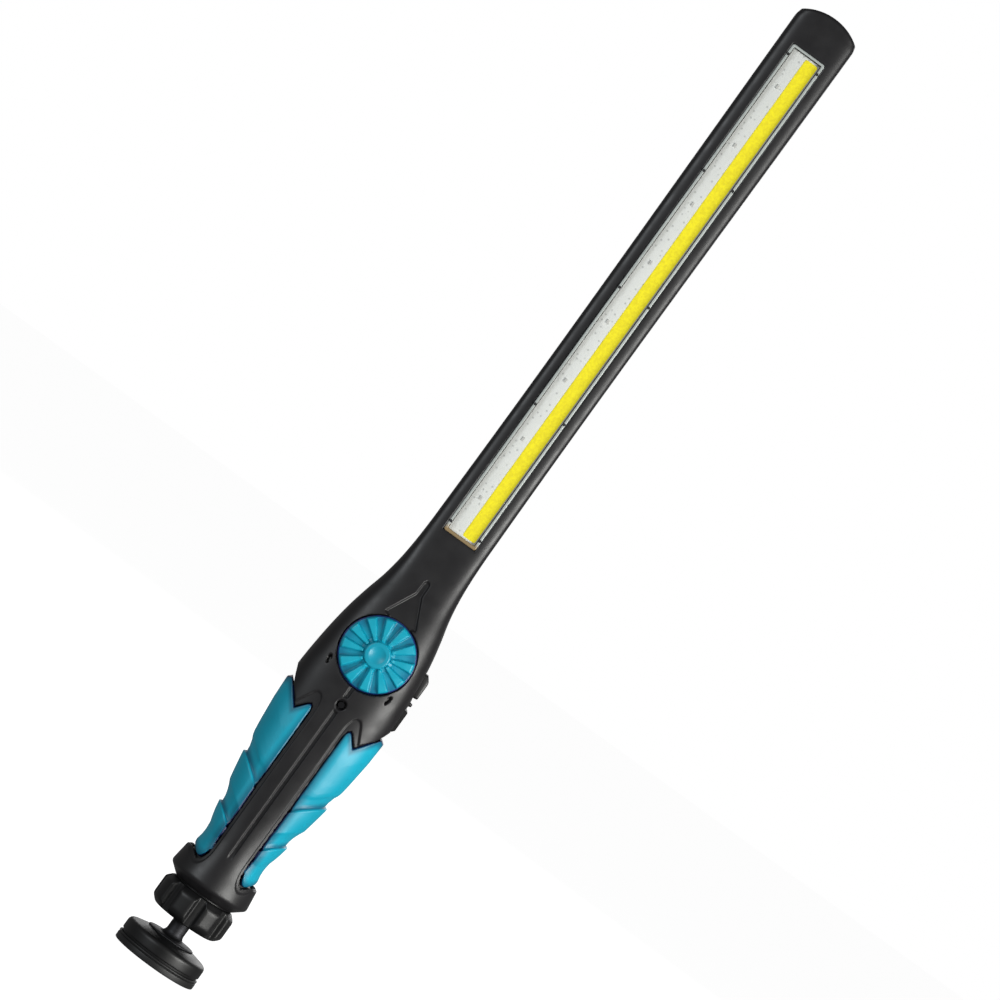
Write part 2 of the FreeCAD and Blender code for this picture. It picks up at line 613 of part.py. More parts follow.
def make_screws():
    screws = []
    for x, z, seat in screw_places():
        shank = rod(size("screw_radius"), x, z, -min(seat, 4.2) + 0.4, seat)
        head = rod(size("screw_head_radius"), x, z, seat, seat + size("screw_head_height"))
        slot = flat_box((x - 0.25, seat + size("screw_head_height") - 0.7, z - 1.4),
                        (x + 0.25, seat + size("screw_head_height") + 1, z + 1.4))
        cross = flat_box((x - 1.4, seat + size("screw_head_height") - 0.7, z - 0.25),
                         (x + 1.4, seat + size("screw_head_height") + 1, z + 0.25))
        screws.append(shank.fuse(head).cut(slot).cut(cross))
    item = doc.addObject("Part::Feature", "shell_screws")
    item.Shape = Part.makeCompound(screws)
    item.Placement = FreeCAD.Placement()
    node(item, "shell_screws")


# ---------------------------------------------------------------- the lamp

def make_lamp():
    half = "window_half"
    inner = "window_half - frame_width"
    ring = box("frame_outer", (f"-({half})", "-(frame_front)", "window_bottom"),
               (half, "-(frame_front) + 1.8", "window_top"))
    hole = box("frame_inner", (f"-({inner})", "-(frame_front) - 1", "window_bottom + frame_width"),
               (inner, "0", "window_top - frame_width"))
    clip_count = 5
    pins = []
    holes = []
    for side in (-1, 1):
        for index in range(clip_count):
            spot = (f"{side} * clip_half_span", "-(frame_front) - 0.25",
                    f"clip_first_z + {index} * clip_pitch")
            name = f"clip_{'left' if side < 0 else 'right'}_{index}"
            pins.append(cylinder(name, "clip_radius", spot, "1.6", "y"))
            holes.append(cylinder(name + "_hole", "clip_radius + 0.02", spot, "1.7", "y"))
    node(cut("lens_frame", ring, fuse("frame_cutters", [hole] + holes)), "lens_frame")
    node(fuse("lens_clips", pins), "lens_clips")

    gap = "fit_gap"
    lens = box("led_lens", (f"-({inner}) + {gap}", "-(lens_front)",
                            f"window_bottom + frame_width + {gap}"),
               (f"{inner} - {gap}", "-(lens_front) + lens_thick",
                f"window_top - frame_width - {gap}"))
    node(lens, "led_lens")

    board = box("led_board", ("-6.3", "-(board_front)", "window_bottom + 0.4"),
                ("6.3", "-(board_front) + board_thick", "window_top - 0.4"))
    node(board, "led_board")
    strip = box("cob_strip", ("strip_left", "-(board_front) - strip_thick", "window_bottom + 2.0"),
                ("strip_right", "-(board_front)", "window_top - 1.9"))
    node(strip, "cob_strip")

    resistors = []
    for index in range(8):
        height = f"window_bottom + 16 + {index} * 26"
        resistors.append(box(f"resistor_{index}", ("-2.9", "-(board_front) - 0.35", height),
                             ("-2.1", "-(board_front)", height + " + 1.6")))
    node(fuse("lamp_resistors", resistors), "lamp_resistors")

    tape_front = "-(board_front) + board_thick"
    node(box("thermal_tape", ("-5.8", tape_front, "window_bottom + 6"),
             ("5.8", tape_front + " + tape_thick", "window_top - 1")), "thermal_tape")
    sink_front = tape_front + " + tape_thick"
    plate = box("sink_plate", ("-(sink_half)", sink_front, "window_bottom + 6"),
                ("sink_half", sink_front + " + sink_thick", "window_top - 1"))
    ribs = []
    for index in range(4):
        start = f"-(sink_half) + {index} * (sink_half * 2 - 1) / 3"
        ribs.append(box(f"sink_rib_{index}", (start, sink_front + " + sink_thick", "window_bottom + 6"),
                        (start + " + 1", sink_front + " + sink_thick + 2.6", "window_top - 1")))
    node(fuse("heat_sink", [plate] + ribs), "heat_sink")


def wire_run(name, radius, points):
    """A round wire through straight runs, with a ball at each bend."""
    pieces = []
    for index, (start, end) in enumerate(zip(points, points[1:])):
        piece = doc.addObject("Part::Cylinder", f"{name}_run_{index}")
        piece.setExpression("Radius", bound(radius))
        first = FreeCAD.Vector(*start)
        last = FreeCAD.Vector(*end)
        piece.Height = (last - first).Length
        piece.Placement = FreeCAD.Placement(first, FreeCAD.Rotation(FreeCAD.Vector(0, 0, 1),
                                                                    last - first))
        pieces.append(piece)
    for index, point in enumerate(points[1:-1]):
        bend = doc.addObject("Part::Sphere", f"{name}_bend_{index}")
        bend.setExpression("Radius", bound(radius))
        bend.Placement.Base = FreeCAD.Vector(*point)
        pieces.append(bend)
    return fuse(name, pieces) if len(pieces) > 1 else pieces[0]


# ---------------------------------------------------------------- the dial

def make_dial():
    """The knob is turned about its own axis, then laid on its side to face -Y."""
    thick = "(dial_hub_front - dial_back)"
    rim = "(dial_rim_front - dial_back)"
    body = turned("knob_disc", [(0, 0), ("dial_radius - 0.3", 0), ("dial_radius", 0.3),
                                ("dial_radius", f"{rim} - 0.4"), ("dial_radius - 0.5", rim),
                                ("dial_radius - 3", f"{rim} + 0.1"),
                                ("dial_hub_radius + 0.8", f"{rim} + 1.0"),
                                ("dial_hub_radius", f"{thick} - 0.4"),
                                ("dial_hub_radius - 0.5", thick), ("dial_dimple_radius", thick),
                                ("dial_dimple_radius * 0.7", f"{thick} - dial_dimple_depth * 0.6"),
                                (0, f"{thick} - dial_dimple_depth")])
    rib = padded("knob_rib", "XZ_Plane",
                 [("dial_hub_radius - 1", 0.5), ("dial_radius - 0.5", 0.5),
                  ("dial_radius - 0.5", f"{rim} + dial_rib_height - 0.5"),
                  ("dial_radius - 1.2", f"{rim} + dial_rib_height"),
                  ("dial_hub_radius - 1", f"{thick} - 0.3")], "3.2", both=True)
    ribs = [rib]
    for index in range(1, int(size("dial_ribs"))):
        copy = doc.addObject("Part::Feature", f"knob_rib_{index}")
        copy.Shape = rib.Shape
        copy.Placement = FreeCAD.Placement(FreeCAD.Vector(0, 0, 0),
                                           FreeCAD.Rotation(FreeCAD.Vector(0, 0, 1),
                                                            index * 360 / size("dial_ribs")))
        ribs.append(copy)
    trim = cylinder("knob_trim", "dial_radius - 0.5", (0, 0, 0), 20)
    ribs_trimmed = common("knob_ribs", [fuse("knob_rib_set", ribs), trim])
    whole = fuse("knob_blank", [body, ribs_trimmed])
    shaft_hole = cylinder("knob_shaft_hole", "shaft_radius", (0, 0, -1), 3.2)
    knob = cut("dimmer_knob", whole, shaft_hole)
    turn = FreeCAD.Rotation(FreeCAD.Vector(1, 0, 0), 90)
    spin = FreeCAD.Rotation(FreeCAD.Vector(0, 0, 1), size("dial_angle"))
    knob.Placement = FreeCAD.Placement(FreeCAD.Vector(0, 0, 0), turn.multiply(spin))
    for letter, expression in zip("xyz", ("dial_x", "-(dial_back)", "dial_z")):
        knob.setExpression("Placement.Base." + letter, bound(expression))
    node(knob, "dimmer_knob")

    shaft = cylinder("shaft_rod", "shaft_radius", ("dial_x", "-(dial_back) - 2.2", "dial_z"),
                     "dial_back + 2.2 - 3.4", "y")
    node(shaft, "dimmer_shaft")


# ---------------------------------------------------------------- button, port and cover

def make_side_controls():
    button = padded("power_button", "XZ_Plane",
                    [("button_back", "button_bottom"), ("side_face - 0.5", "button_bottom"),
                     ("side_face", "button_bottom + 0.5"), ("side_face", "button_top - 2.2"),
                     ("side_face - 1.6", "button_top"), ("button_back", "button_top")],
                    "button_half * 2", both=True)
    node(button, "power_button")

    plate = padded("cover_plate", "XZ_Plane",
                   [("cover_back", "cover_bottom"), ("side_face - 0.9", "cover_bottom"),
                    ("side_face", "cover_bottom + 1.0"), ("side_face", "cover_top - 0.4"),
                    ("side_face - 0.4", "cover_top"), ("cover_back", "cover_top")],
                   "cover_half * 2", both=True)
    pin_x = "(cover_back + side_face) / 2"
    knuckle = cylinder("cover_knuckle", "cover_knuckle_radius",
                       (pin_x, "cover_pin_y", "cover_bottom + 2"), "cover_top - cover_bottom - 4")
    strap = box("cover_strap", ("cover_back + 0.35", "cover_half - 1", "cover_bottom + 2"),
                ("side_face - 0.35", "cover_pin_y", "cover_top - 2"))
    tongue = box("cover_tongue", ("cover_back - 0.9", "-(port_half_thick) + 0.2",
                                  "(cover_bottom + cover_top) / 2 - port_half_long + 0.3"),
                 ("cover_back + 0.5", "port_half_thick - 0.2",
                  "(cover_bottom + cover_top) / 2 + port_half_long - 0.3"))
    pin_hole = cylinder("cover_pin_hole", "cover_pin_radius + 0.05",
                        (pin_x, "cover_pin_y", "cover_bottom"), "cover_top - cover_bottom")
    cover = fuse("cover_solid", [plate, knuckle, strap, tongue])
    node(cut("port_cover", cover, pin_hole), "port_cover")

    pin = cylinder("cover_pin_rod", "cover_pin_radius",
                   (pin_x, "cover_pin_y", "cover_bottom - 0.2"), "cover_top - cover_bottom + 0.4")
    ears = []
    for index, low in enumerate(("cover_bottom - 0.2", "cover_top - 1.7")):
        ears.append(box(f"cover_ear_{index}", ("cover_back - 0.25", "cover_half + 0.35", low),
                        (pin_x + " + 0.3", "cover_pin_y + 1.0", low + " + 1.9")))
    node(fuse("cover_hinge", [pin] + ears), "cover_hinge")

    port_z = "(cover_bottom + cover_top) / 2"
    body = box("socket_body", (13.2, "-(port_half_thick)", f"{port_z} - port_half_long"),
               ("cover_back - 1.0", "port_half_thick", f"{port_z} + port_half_long"))
    mouth = box("socket_mouth", (14.2, "-(port_half_thick) + 0.35", f"{port_z} - port_half_long + 0.4"),
                (25, "port_half_thick - 0.35", f"{port_z} + port_half_long - 0.4"))
    tongue = box("socket_tongue", (14.0, "-0.25", f"{port_z} - port_half_long + 1.2"),
                 ("cover_back - 1.8", "0.25", f"{port_z} + port_half_long - 1.2"))
    node(fuse("charge_socket", [cut("socket_can", body, mouth), tongue]), "charge_socket")

    switch_z = "(button_bottom + button_top) / 2"
    can = box("switch_can", (11.5, "-3.0", f"{switch_z} - 3"), (15.4, "pcb_front", f"{switch_z} + 3"))
    plunger = cylinder("switch_plunger", "1.5", (15.4, 0, switch_z), "button_back - 15.4 - 0.9", "x")
    node(fuse("button_switch", [can, plunger]), "button_switch")


# ---------------------------------------------------------------- inside the handle

def make_electronics():
    cell_top = "cell_bottom + cell_length"
    can = turned("battery_cell", [(0, "cell_bottom"), ("cell_radius - 0.5", "cell_bottom"),
                                  ("cell_radius", "cell_bottom + 0.5"),
                                  ("cell_radius", f"{cell_top} - 1.4"),
                                  ("cell_radius - 0.9", f"{cell_top} - 0.8"), (3.2, f"{cell_top} - 0.8"),
                                  (3.2, cell_top), (0, cell_top)])
    node(can, "battery_cell")

    tabs = []
    for index, low in enumerate(("cell_bottom - 0.35", f"{cell_top} + 0.05")):
        tabs.append(box(f"battery_tab_{index}", ("-4", "-3.5", low), ("4", "3.5", low + " + 0.3")))
    node(fuse("battery_tabs", tabs), "battery_tabs")

    ring = turned("cradle_ring", [("cell_radius + 0.15", "cell_bottom - 1.4"),
                                  ("cradle_radius", "cell_bottom - 1.4"),
                                  ("cradle_radius", f"{cell_top} + 1.6"),
                                  ("cell_radius + 0.15", f"{cell_top} + 1.6")])
    ends = []
    for index, low in enumerate(("cell_bottom - 1.4", f"{cell_top} + 0.6")):
        ends.append(cylinder(f"cradle_end_{index}", "cradle_radius", (0, 0, low), 1))
    keep = box("cradle_keep", ("-12", "4.4", "cell_bottom - 3"), ("12", "12", f"{cell_top} + 3"))
    node(common("battery_cradle", [fuse("cradle_blank", [ring] + ends), keep]), "battery_cradle")

    leads = []
    for side in (-1, 1):
        leads.append(wire_run(f"battery_lead_{'minus' if side < 0 else 'plus'}", "0.6",
                              [(side * 3.2, 0.75, 107.35), (side * 3.2, 0.75, 113.0)]))
    node(fuse("battery_leads", leads), "battery_leads")

    pcb = padded("main_board", "XZ_Plane",
                 [("-(pcb_half)", "pcb_bottom"), ("pcb_half", "pcb_bottom"),
                  ("pcb_half", "pcb_bottom + 5"), ("pcb_tongue", "pcb_bottom + 5"),
                  ("pcb_tongue", "pcb_top - 4.5"), ("pcb_half - 0.9", "pcb_top"),
                  ("-(pcb_half)", "pcb_top")],
                 "pcb_thick", "-(pcb_front) - pcb_thick")
    node(pcb, "main_board")

    chip = box("control_chip", ("-6", "-0.2", 119), ("1", "pcb_front", 124.5))
    node(chip, "control_chip")

    can = box("pot_can", ("dial_x - 7", "-4.5", "dial_z - 7"), ("dial_x + 7", "pcb_front", "dial_z + 7"))
    neck = cylinder("pot_neck", "4.2", ("dial_x", "-8.6", "dial_z"), "5", "y")
    bore = cylinder("pot_bore", "shaft_radius + shaft_gap", ("dial_x", "-10", "dial_z"), "6.9", "y")
    node(cut("dimmer_pot", fuse("pot_solid", [can, neck]), bore), "dimmer_pot")

    lamp = box("status_led", ("status_x - 0.8", "0.6", "status_z - 0.8"),
               ("status_x + 0.8", "pcb_front", "status_z + 0.8"))
    node(lamp, "status_led")
    pipe = cylinder("status_lens", "status_radius", ("status_x", "-13.7", "status_z"), "14.2", "y")
    node(pipe, "status_lens")

    wires = []
    for side in (-1, 1):
        route = [(side * 4.0, 0.8, 145.0), (side * 4.0, 0.8, 168.0), (side * 4.0, -2.9, 181.0),
                 (side * 4.0, -2.9, 192.0)]
        wires.append(wire_run(f"lamp_wire_{'minus' if side < 0 else 'plus'}", "0.55", route))
    node(fuse("lamp_wires", wires), "lamp_wires")


def check_and_export():
    """Stops on any failed object, then writes each sub-part."""
    doc.recompute()
    for item in doc.Objects:
        if "Invalid" in item.State or "Error" in item.State:
            raise RuntimeError(f"{item.Label} failed to recompute")
    for item in nodes:
        if item.Shape.isNull() or not item.Shape.isValid() or not item.Shape.Solids:
            raise RuntimeError(f"{item.Label} has no valid shape")
    os.makedirs("parts", exist_ok=True)
    for item in nodes:
        item.Shape.exportStep(f"parts/{item.Label}.step")
        print(item.Label, len(item.Shape.Solids), round(item.Shape.Volume, 1))


make_foot()
make_joint()
make_nut()
housing_outer, housing_core = make_housing()
make_grips(housing_core)
make_screws()
make_lamp()
make_dial()
make_side_controls()
make_electronics()
check_and_export()
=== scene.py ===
import json
import math

import bpy
import numpy as np
from mathutils import Matrix, Vector


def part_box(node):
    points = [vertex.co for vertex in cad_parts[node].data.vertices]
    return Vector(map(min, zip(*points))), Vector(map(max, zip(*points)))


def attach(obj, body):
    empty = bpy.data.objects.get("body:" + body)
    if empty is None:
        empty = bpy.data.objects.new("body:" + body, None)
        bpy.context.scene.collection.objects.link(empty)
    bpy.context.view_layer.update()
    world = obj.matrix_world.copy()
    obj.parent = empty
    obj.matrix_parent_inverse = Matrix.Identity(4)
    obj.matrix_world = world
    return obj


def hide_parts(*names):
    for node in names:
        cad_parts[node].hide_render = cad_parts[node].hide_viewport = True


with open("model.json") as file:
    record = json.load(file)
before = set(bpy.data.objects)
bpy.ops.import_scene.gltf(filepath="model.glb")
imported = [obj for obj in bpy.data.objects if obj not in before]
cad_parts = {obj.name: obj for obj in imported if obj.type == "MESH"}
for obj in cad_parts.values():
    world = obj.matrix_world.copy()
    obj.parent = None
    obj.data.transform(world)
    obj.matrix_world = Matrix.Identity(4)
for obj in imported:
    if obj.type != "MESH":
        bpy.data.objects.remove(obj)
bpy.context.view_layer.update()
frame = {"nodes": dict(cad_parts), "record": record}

MM = 0.001
scene = bpy.context.scene


# ---------------------------------------------------------------- camera, floor and light

# The camera is turned by LEAN, so that the upright object leans as in the photograph.
LEAN = math.radians(35.855)
UP = Vector((-math.sin(LEAN), 0, math.cos(LEAN)))
CAMERA = Vector((-0.04, -1.8, 0.208))
TARGET = Vector((0.0037, 0.0, 0.208))


def look_from(item, position, target, up):
    """Turns a camera or a light at a position towards a target."""
    back = (position - target).normalized()
    side = up.cross(back).normalized()
    top = back.cross(side)
    turn = Matrix((side, top, back)).transposed().to_4x4()
    item.matrix_world = Matrix.Translation(position) @ turn


def make_camera():
    """A long lens in front of the object."""
    data = bpy.data.cameras.new("camera")
    data.lens = 180.0
    data.sensor_width = 36.0
    data.clip_start = 0.05
    data.clip_end = 60.0
    item = bpy.data.objects.new("camera", data)
    scene.collection.objects.link(item)
    look_from(item, CAMERA, TARGET, UP)
    scene.camera = item


def area_light(name, position, size, watts, tint=(1, 1, 1)):
    data = bpy.data.lights.new(name, "AREA")
    data.shape = "RECTANGLE"
    data.size, data.size_y = size
    data.energy = watts
    data.color = tint
    item = bpy.data.objects.new(name, data)
    scene.collection.objects.link(item)
    look_from(item, position, TARGET, Vector((0, 0, 1)))
    item.visible_camera = False


def make_stage():
    """A white world that lights weakly, a pale floor, and three area lights."""
    world = bpy.data.worlds.new("studio")
    scene.world = world
    world.use_nodes = True
    tree = world.node_tree
    tree.nodes.clear()
    output = tree.nodes.new("ShaderNodeOutputWorld")
    seen = tree.nodes.new("ShaderNodeBackground")
    seen.inputs["Color"].default_value = (1, 1, 1, 1)
    lit = tree.nodes.new("ShaderNodeBackground")
    lit.inputs["Color"].default_value = (1, 1, 1, 1)
    lit.inputs["Strength"].default_value = 0.16
    rays = tree.nodes.new("ShaderNodeLightPath")
    mix = tree.nodes.new("ShaderNodeMixShader")
    tree.links.new(rays.outputs["Is Camera Ray"], mix.inputs["Fac"])
    tree.links.new(lit.outputs[0], mix.inputs[1])
    tree.links.new(seen.outputs[0], mix.inputs[2])
    tree.links.new(mix.outputs[0], output.inputs["Surface"])

    mesh = bpy.data.meshes.new("floor")
    half = 6.0
    mesh.from_pydata([(-half, -half, 0), (half, -half, 0), (half, half, 0), (-half, half, 0)], [],
                     [(0, 1, 2, 3)])
    floor = bpy.data.objects.new("floor", mesh)
    scene.collection.objects.link(floor)
    pale = bpy.data.materials.new("pale_floor")
    pale.use_nodes = True
    shader = pale.node_tree.nodes["Principled BSDF"]
    shader.inputs["Base Color"].default_value = (0.45, 0.45, 0.45, 1)
    shader.inputs["Roughness"].default_value = 0.9
    shader.inputs["Emission Color"].default_value = (1, 1, 1, 1)
    shader.inputs["Emission Strength"].default_value = 0.9
    mesh.materials.append(pale)
    floor.visible_diffuse = False
    floor.visible_glossy = False

    area_light("key", TARGET + Vector((0.78, -0.62, -0.02)), (0.6, 0.4), 11.5, (1, 1, 0.97))
    area_light("fill", TARGET + Vector((-1.0, -1.1, 0.25)), (0.5, 0.5), 6.2, (0.92, 0.97, 1))
    area_light("back", TARGET + Vector((0.3, 1.6, 0.7)), (1.2, 1.2), 9)
    scene.view_settings.view_transform = "Standard"
    scene.view_settings.look = "None"


make_camera()
make_stage()


# ---------------------------------------------------------------- materials

def srgb(red, green, blue):
    """A display colour, 0 to 255, as scene-linear RGBA."""
    values = []
    for channel in (red, green, blue):
        share = channel / 255
        values.append(share / 12.92 if share <= 0.04045 else ((share + 0.055) / 1.055) ** 2.4)
    return (*values, 1.0)


def new_material(name):
    material = bpy.data.materials.new(name)
    material.use_nodes = True
    return material, material.node_tree, material.node_tree.nodes["Principled BSDF"]


def texture_position(tree):
    return tree.nodes.new("ShaderNodeTexCoord").outputs["Object"]


def noise(tree, scale, detail=2.0, stretch=None):
    """A noise pattern in object space; scale is in cycles per metre."""
    position = texture_position(tree)
    if stretch:
        mapping = tree.nodes.new("ShaderNodeMapping")
        mapping.inputs["Scale"].default_value = stretch
        tree.links.new(position, mapping.inputs["Vector"])
        position = mapping.outputs["Vector"]
    node = tree.nodes.new("ShaderNodeTexNoise")
    node.inputs["Scale"].default_value = scale
    node.inputs["Detail"].default_value = detail
    tree.links.new(position, node.inputs["Vector"])
    return node.outputs["Fac"]


def ramp(tree, value, stops):
    node = tree.nodes.new("ShaderNodeValToRGB")
    points = node.color_ramp.elements
    while len(points) < len(stops):
        points.new(0.5)
    for point, (place, colour) in zip(points, stops):
        point.position = place
        point.color = colour
    tree.links.new(value, node.inputs["Fac"])
    return node.outputs["Color"]


def spread(tree, value, low, high):
    """Maps the middle of a noise value onto a range."""
    node = tree.nodes.new("ShaderNodeMapRange")
    node.inputs["From Min"].default_value = 0.3
    node.inputs["From Max"].default_value = 0.7
    node.inputs["To Min"].default_value = low
    node.inputs["To Max"].default_value = high
    tree.links.new(value, node.inputs["Value"])
    return node.outputs["Result"]


def bump(tree, shader, height, strength, depth):
    node = tree.nodes.new("ShaderNodeBump")
    node.inputs["Strength"].default_value = strength
    node.inputs["Distance"].default_value = depth
    tree.links.new(height, node.inputs["Height"])
    tree.links.new(node.outputs["Normal"], shader.inputs["Normal"])


def scaled(colour, factor):
    return (colour[0] * factor, colour[1] * factor, colour[2] * factor, 1.0)


def moulded(name, colour, roughness, grain=2600.0, grain_depth=0.00002, uneven=0.12, gloss=0.5):
    """Moulded plastic or rubber: fine grain, faint cloudy colour and uneven sheen."""
    material, tree, shader = new_material(name)
    clouds = noise(tree, 55.0, 4.0)
    stops = [(0.3, scaled(colour, 1 - uneven)), (0.7, scaled(colour, 1 + uneven))]
    tree.links.new(ramp(tree, clouds, stops), shader.inputs["Base Color"])
    tree.links.new(spread(tree, noise(tree, 160.0, 3.0), roughness - 0.05, roughness + 0.06),
                   shader.inputs["Roughness"])
    shader.inputs["Specular IOR Level"].default_value = gloss
    bump(tree, shader, noise(tree, grain, 2.0), 0.35, grain_depth)
    return material


def paint_over(material, colour, share):
    """Mixes a second colour over the base colour, by as much as share says."""
    tree = material.node_tree
    shader = tree.nodes["Principled BSDF"]
    base = shader.inputs["Base Color"].links[0].from_socket
    mix = tree.nodes.new("ShaderNodeMix")
    mix.data_type = "RGBA"
    mix.inputs["B"].default_value = colour
    tree.links.new(share, mix.inputs["Factor"])
    tree.links.new(base, mix.inputs["A"])
    tree.links.new(mix.outputs["Result"], shader.inputs["Base Color"])


def with_painted_shade(name, colour, shadow, roughness, grain):
    """As moulded, with painted shade: a darker second colour mixed in as far as the mesh's per-vertex shade
    value says.
    """
    material = moulded(name, colour, roughness, grain=grain, uneven=0.07)
    # The mesh attribute read here holds painted shade, 0 to 1, for recesses, valleys, rims and inner faces.
    painted_shade = material.node_tree.nodes.new("ShaderNodeAttribute")
    painted_shade.attribute_name = "painted_shade"
    paint_over(material, shadow, painted_shade.outputs["Fac"])
    return material


def metal(name, colour, roughness, stretch=(1, 1, 40), scale=90.0):
    """Plated or brushed metal with fine directional scratches."""
    material, tree, shader = new_material(name)
    scratches = noise(tree, scale, 4.0, stretch)
    tree.links.new(ramp(tree, scratches, [(0.3, scaled(colour, 0.85)), (0.7, scaled(colour, 1.1))]),
                   shader.inputs["Base Color"])
    shader.inputs["Metallic"].default_value = 1.0
    tree.links.new(spread(tree, scratches, roughness - 0.07, roughness + 0.08),
                   shader.inputs["Roughness"])
    bump(tree, shader, scratches, 0.12, 0.00003)
    return material


def clear(name, colour, alpha, roughness):
    """Clear moulded plastic with faint haze."""
    material, tree, shader = new_material(name)
    shader.inputs["Base Color"].default_value = colour
    shader.inputs["Alpha"].default_value = alpha
    tree.links.new(spread(tree, noise(tree, 70.0, 3.0), roughness - 0.02, roughness + 0.05),
                   shader.inputs["Roughness"])
    bump(tree, shader, noise(tree, 40.0, 1.0), 0.05, 0.0001)
    return material


def white_board():
    """White solder mask with rows of faint pads that show through it."""
    material, tree, shader = new_material("white_board")
    position = texture_position(tree)
    cells = tree.nodes.new("ShaderNodeTexVoronoi")
    cells.inputs["Scale"].default_value = 420.0
    cells.inputs["Randomness"].default_value = 0.55
    tree.links.new(position, cells.inputs["Vector"])
    stops = [(0.10, srgb(190, 192, 190)), (0.22, srgb(228, 230, 227))]
    tree.links.new(ramp(tree, cells.outputs["Distance"], stops), shader.inputs["Base Color"])
    shader.inputs["Roughness"].default_value = 0.42
    bump(tree, shader, cells.outputs["Distance"], 0.12, 0.0001)
    return material


def pale_frame():
    """Cloudy clear plastic showing the grey of its channel, browner at its lower end, with painted shade on
    its inner wall.
    """
    material = with_painted_shade("pale_frame", srgb(178, 184, 181), srgb(52, 52, 48), 0.28, 420.0)
    tree = material.node_tree
    split = tree.nodes.new("ShaderNodeSeparateXYZ")
    tree.links.new(texture_position(tree), split.inputs["Vector"])
    low_end = tree.nodes.new("ShaderNodeMapRange")
    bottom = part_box("lens_frame")[0][2]
    low_end.inputs["From Min"].default_value = bottom + 0.0030
    low_end.inputs["From Max"].default_value = bottom + 0.0010
    tree.links.new(split.outputs["Z"], low_end.inputs["Value"])
    paint_over(material, srgb(150, 129, 95), low_end.outputs["Result"])
    return material


def phosphor():
    """Yellow phosphor silicone, slightly mottled, with a painted glow that keeps it bright in shadow."""
    material, tree, shader = new_material("phosphor")
    grains = noise(tree, 900.0, 3.0)
    colour = ramp(tree, grains, [(0.35, srgb(172, 160, 0)), (0.65, srgb(190, 178, 0))])
    painted_glow = ramp(tree, grains, [(0.35, srgb(248, 232, 0)), (0.65, srgb(255, 244, 2))])
    tree.links.new(colour, shader.inputs["Base Color"])
    tree.links.new(painted_glow, shader.inputs["Emission Color"])
    # Painted light: an emission that lifts the strip out of the shadows cast on it, not the lamp being on.
    shader.inputs["Emission Strength"].default_value = 0.5
    shader.inputs["Roughness"].default_value = 0.5
    shader.inputs["Specular IOR Level"].default_value = 0.03
    bump(tree, shader, grains, 0.2, 0.00005)
    return material


def wrapped(name, colour, band):
    """A shrink-wrapped cell: a plain sleeve with a darker band and fine wrinkles."""
    material = moulded(name, colour, 0.32, grain=700.0, grain_depth=0.00004, uneven=0.1)
    tree = material.node_tree
    wave = tree.nodes.new("ShaderNodeTexWave")
    wave.bands_direction = "Z"
    wave.inputs["Scale"].default_value = 6.0
    tree.links.new(texture_position(tree), wave.inputs["Vector"])
    paint_over(material, band, ramp(tree, wave.outputs["Fac"], [(0.8, (0, 0, 0, 1)), (0.9, (1, 1, 1, 1))]))
    return material


# Navy painted shade for the grips' rims and feather steps.
NAVY_PAINTED_SHADE = srgb(0, 22, 74)
MATERIALS = {
    # The second colour of black_plastic, grip_rubber, dial_plastic and pale_frame is painted shade.
    "black_plastic": with_painted_shade("black_plastic", srgb(25, 24, 26), srgb(8, 8, 9), 0.42, 2600.0),
    "black_gloss_plastic": moulded("black_gloss_plastic", srgb(15, 15, 16), 0.42, grain=1500.0, gloss=0.43),
    "grip_rubber": with_painted_shade("grip_rubber", srgb(0, 166, 194), NAVY_PAINTED_SHADE, 0.42, 1800.0),
    "dial_plastic": with_painted_shade("dial_plastic", srgb(14, 168, 194), srgb(0, 32, 100), 0.37, 1500.0),
    "black_rubber": moulded("black_rubber", srgb(24, 24, 25), 0.48, grain=1900.0, uneven=0.15),
    "steel": metal("steel", srgb(196, 196, 200), 0.3),
    "dark_steel": metal("dark_steel", srgb(62, 62, 65), 0.55),
    "magnet": metal("magnet", srgb(176, 176, 180), 0.25, (1, 1, 1), 30.0),
    "spring_steel": metal("spring_steel", srgb(186, 186, 190), 0.28),
    "acetal": moulded("acetal", srgb(222, 221, 214), 0.4),
    "clear_lens": clear("clear_lens", srgb(236, 240, 238), 0.02, 0.08),
    "pale_frame": pale_frame(),
    "chip_grey": moulded("chip_grey", srgb(196, 196, 192), 0.5),
    "white_board": white_board(),
    "phosphor": phosphor(),
    "chip_black": moulded("chip_black", srgb(40, 40, 42), 0.5),
    "heat_aluminium": metal("heat_aluminium", srgb(214, 215, 217), 0.35, (1, 1, 0.05), 900.0),
    "tape_grey": moulded("tape_grey", srgb(176, 176, 182), 0.8, grain=900.0),
    "nickel_tab": metal("nickel_tab", srgb(210, 208, 200), 0.3),
    "cell_wrap": wrapped("cell_wrap", srgb(74, 150, 124), srgb(40, 84, 70)),
    "cradle_plastic": moulded("cradle_plastic", srgb(92, 92, 96), 0.5),
    "circuit_green": moulded("circuit_green", srgb(22, 92, 48), 0.35, grain=700.0, uneven=0.2),
    "wire_red": moulded("wire_red", srgb(186, 30, 30), 0.4),
    "smoke_lens": clear("smoke_lens", srgb(20, 20, 22), 0.93, 0.1),
    "led_chip": moulded("led_chip", srgb(238, 226, 170), 0.4),
}
SLOT_OF = {row["node"]: row["material_slot"] for row in frame["record"]["subparts"]}
BODIES = frame["record"]["behaviour"]["bodies"]
BODY_OF = {node: body for body, listed in BODIES.items() for node in listed}
for node_name, item in frame["nodes"].items():
    for place in item.material_slots:
        place.material = MATERIALS[SLOT_OF[node_name]]


# ---------------------------------------------------------------- mesh helpers

def smooth(start, end, value):
    """Goes from 0 at start to 1 at end, level at both."""
    share = np.clip((value - start) / (end - start), 0.0, 1.0)
    return share * share * (3 - 2 * share)


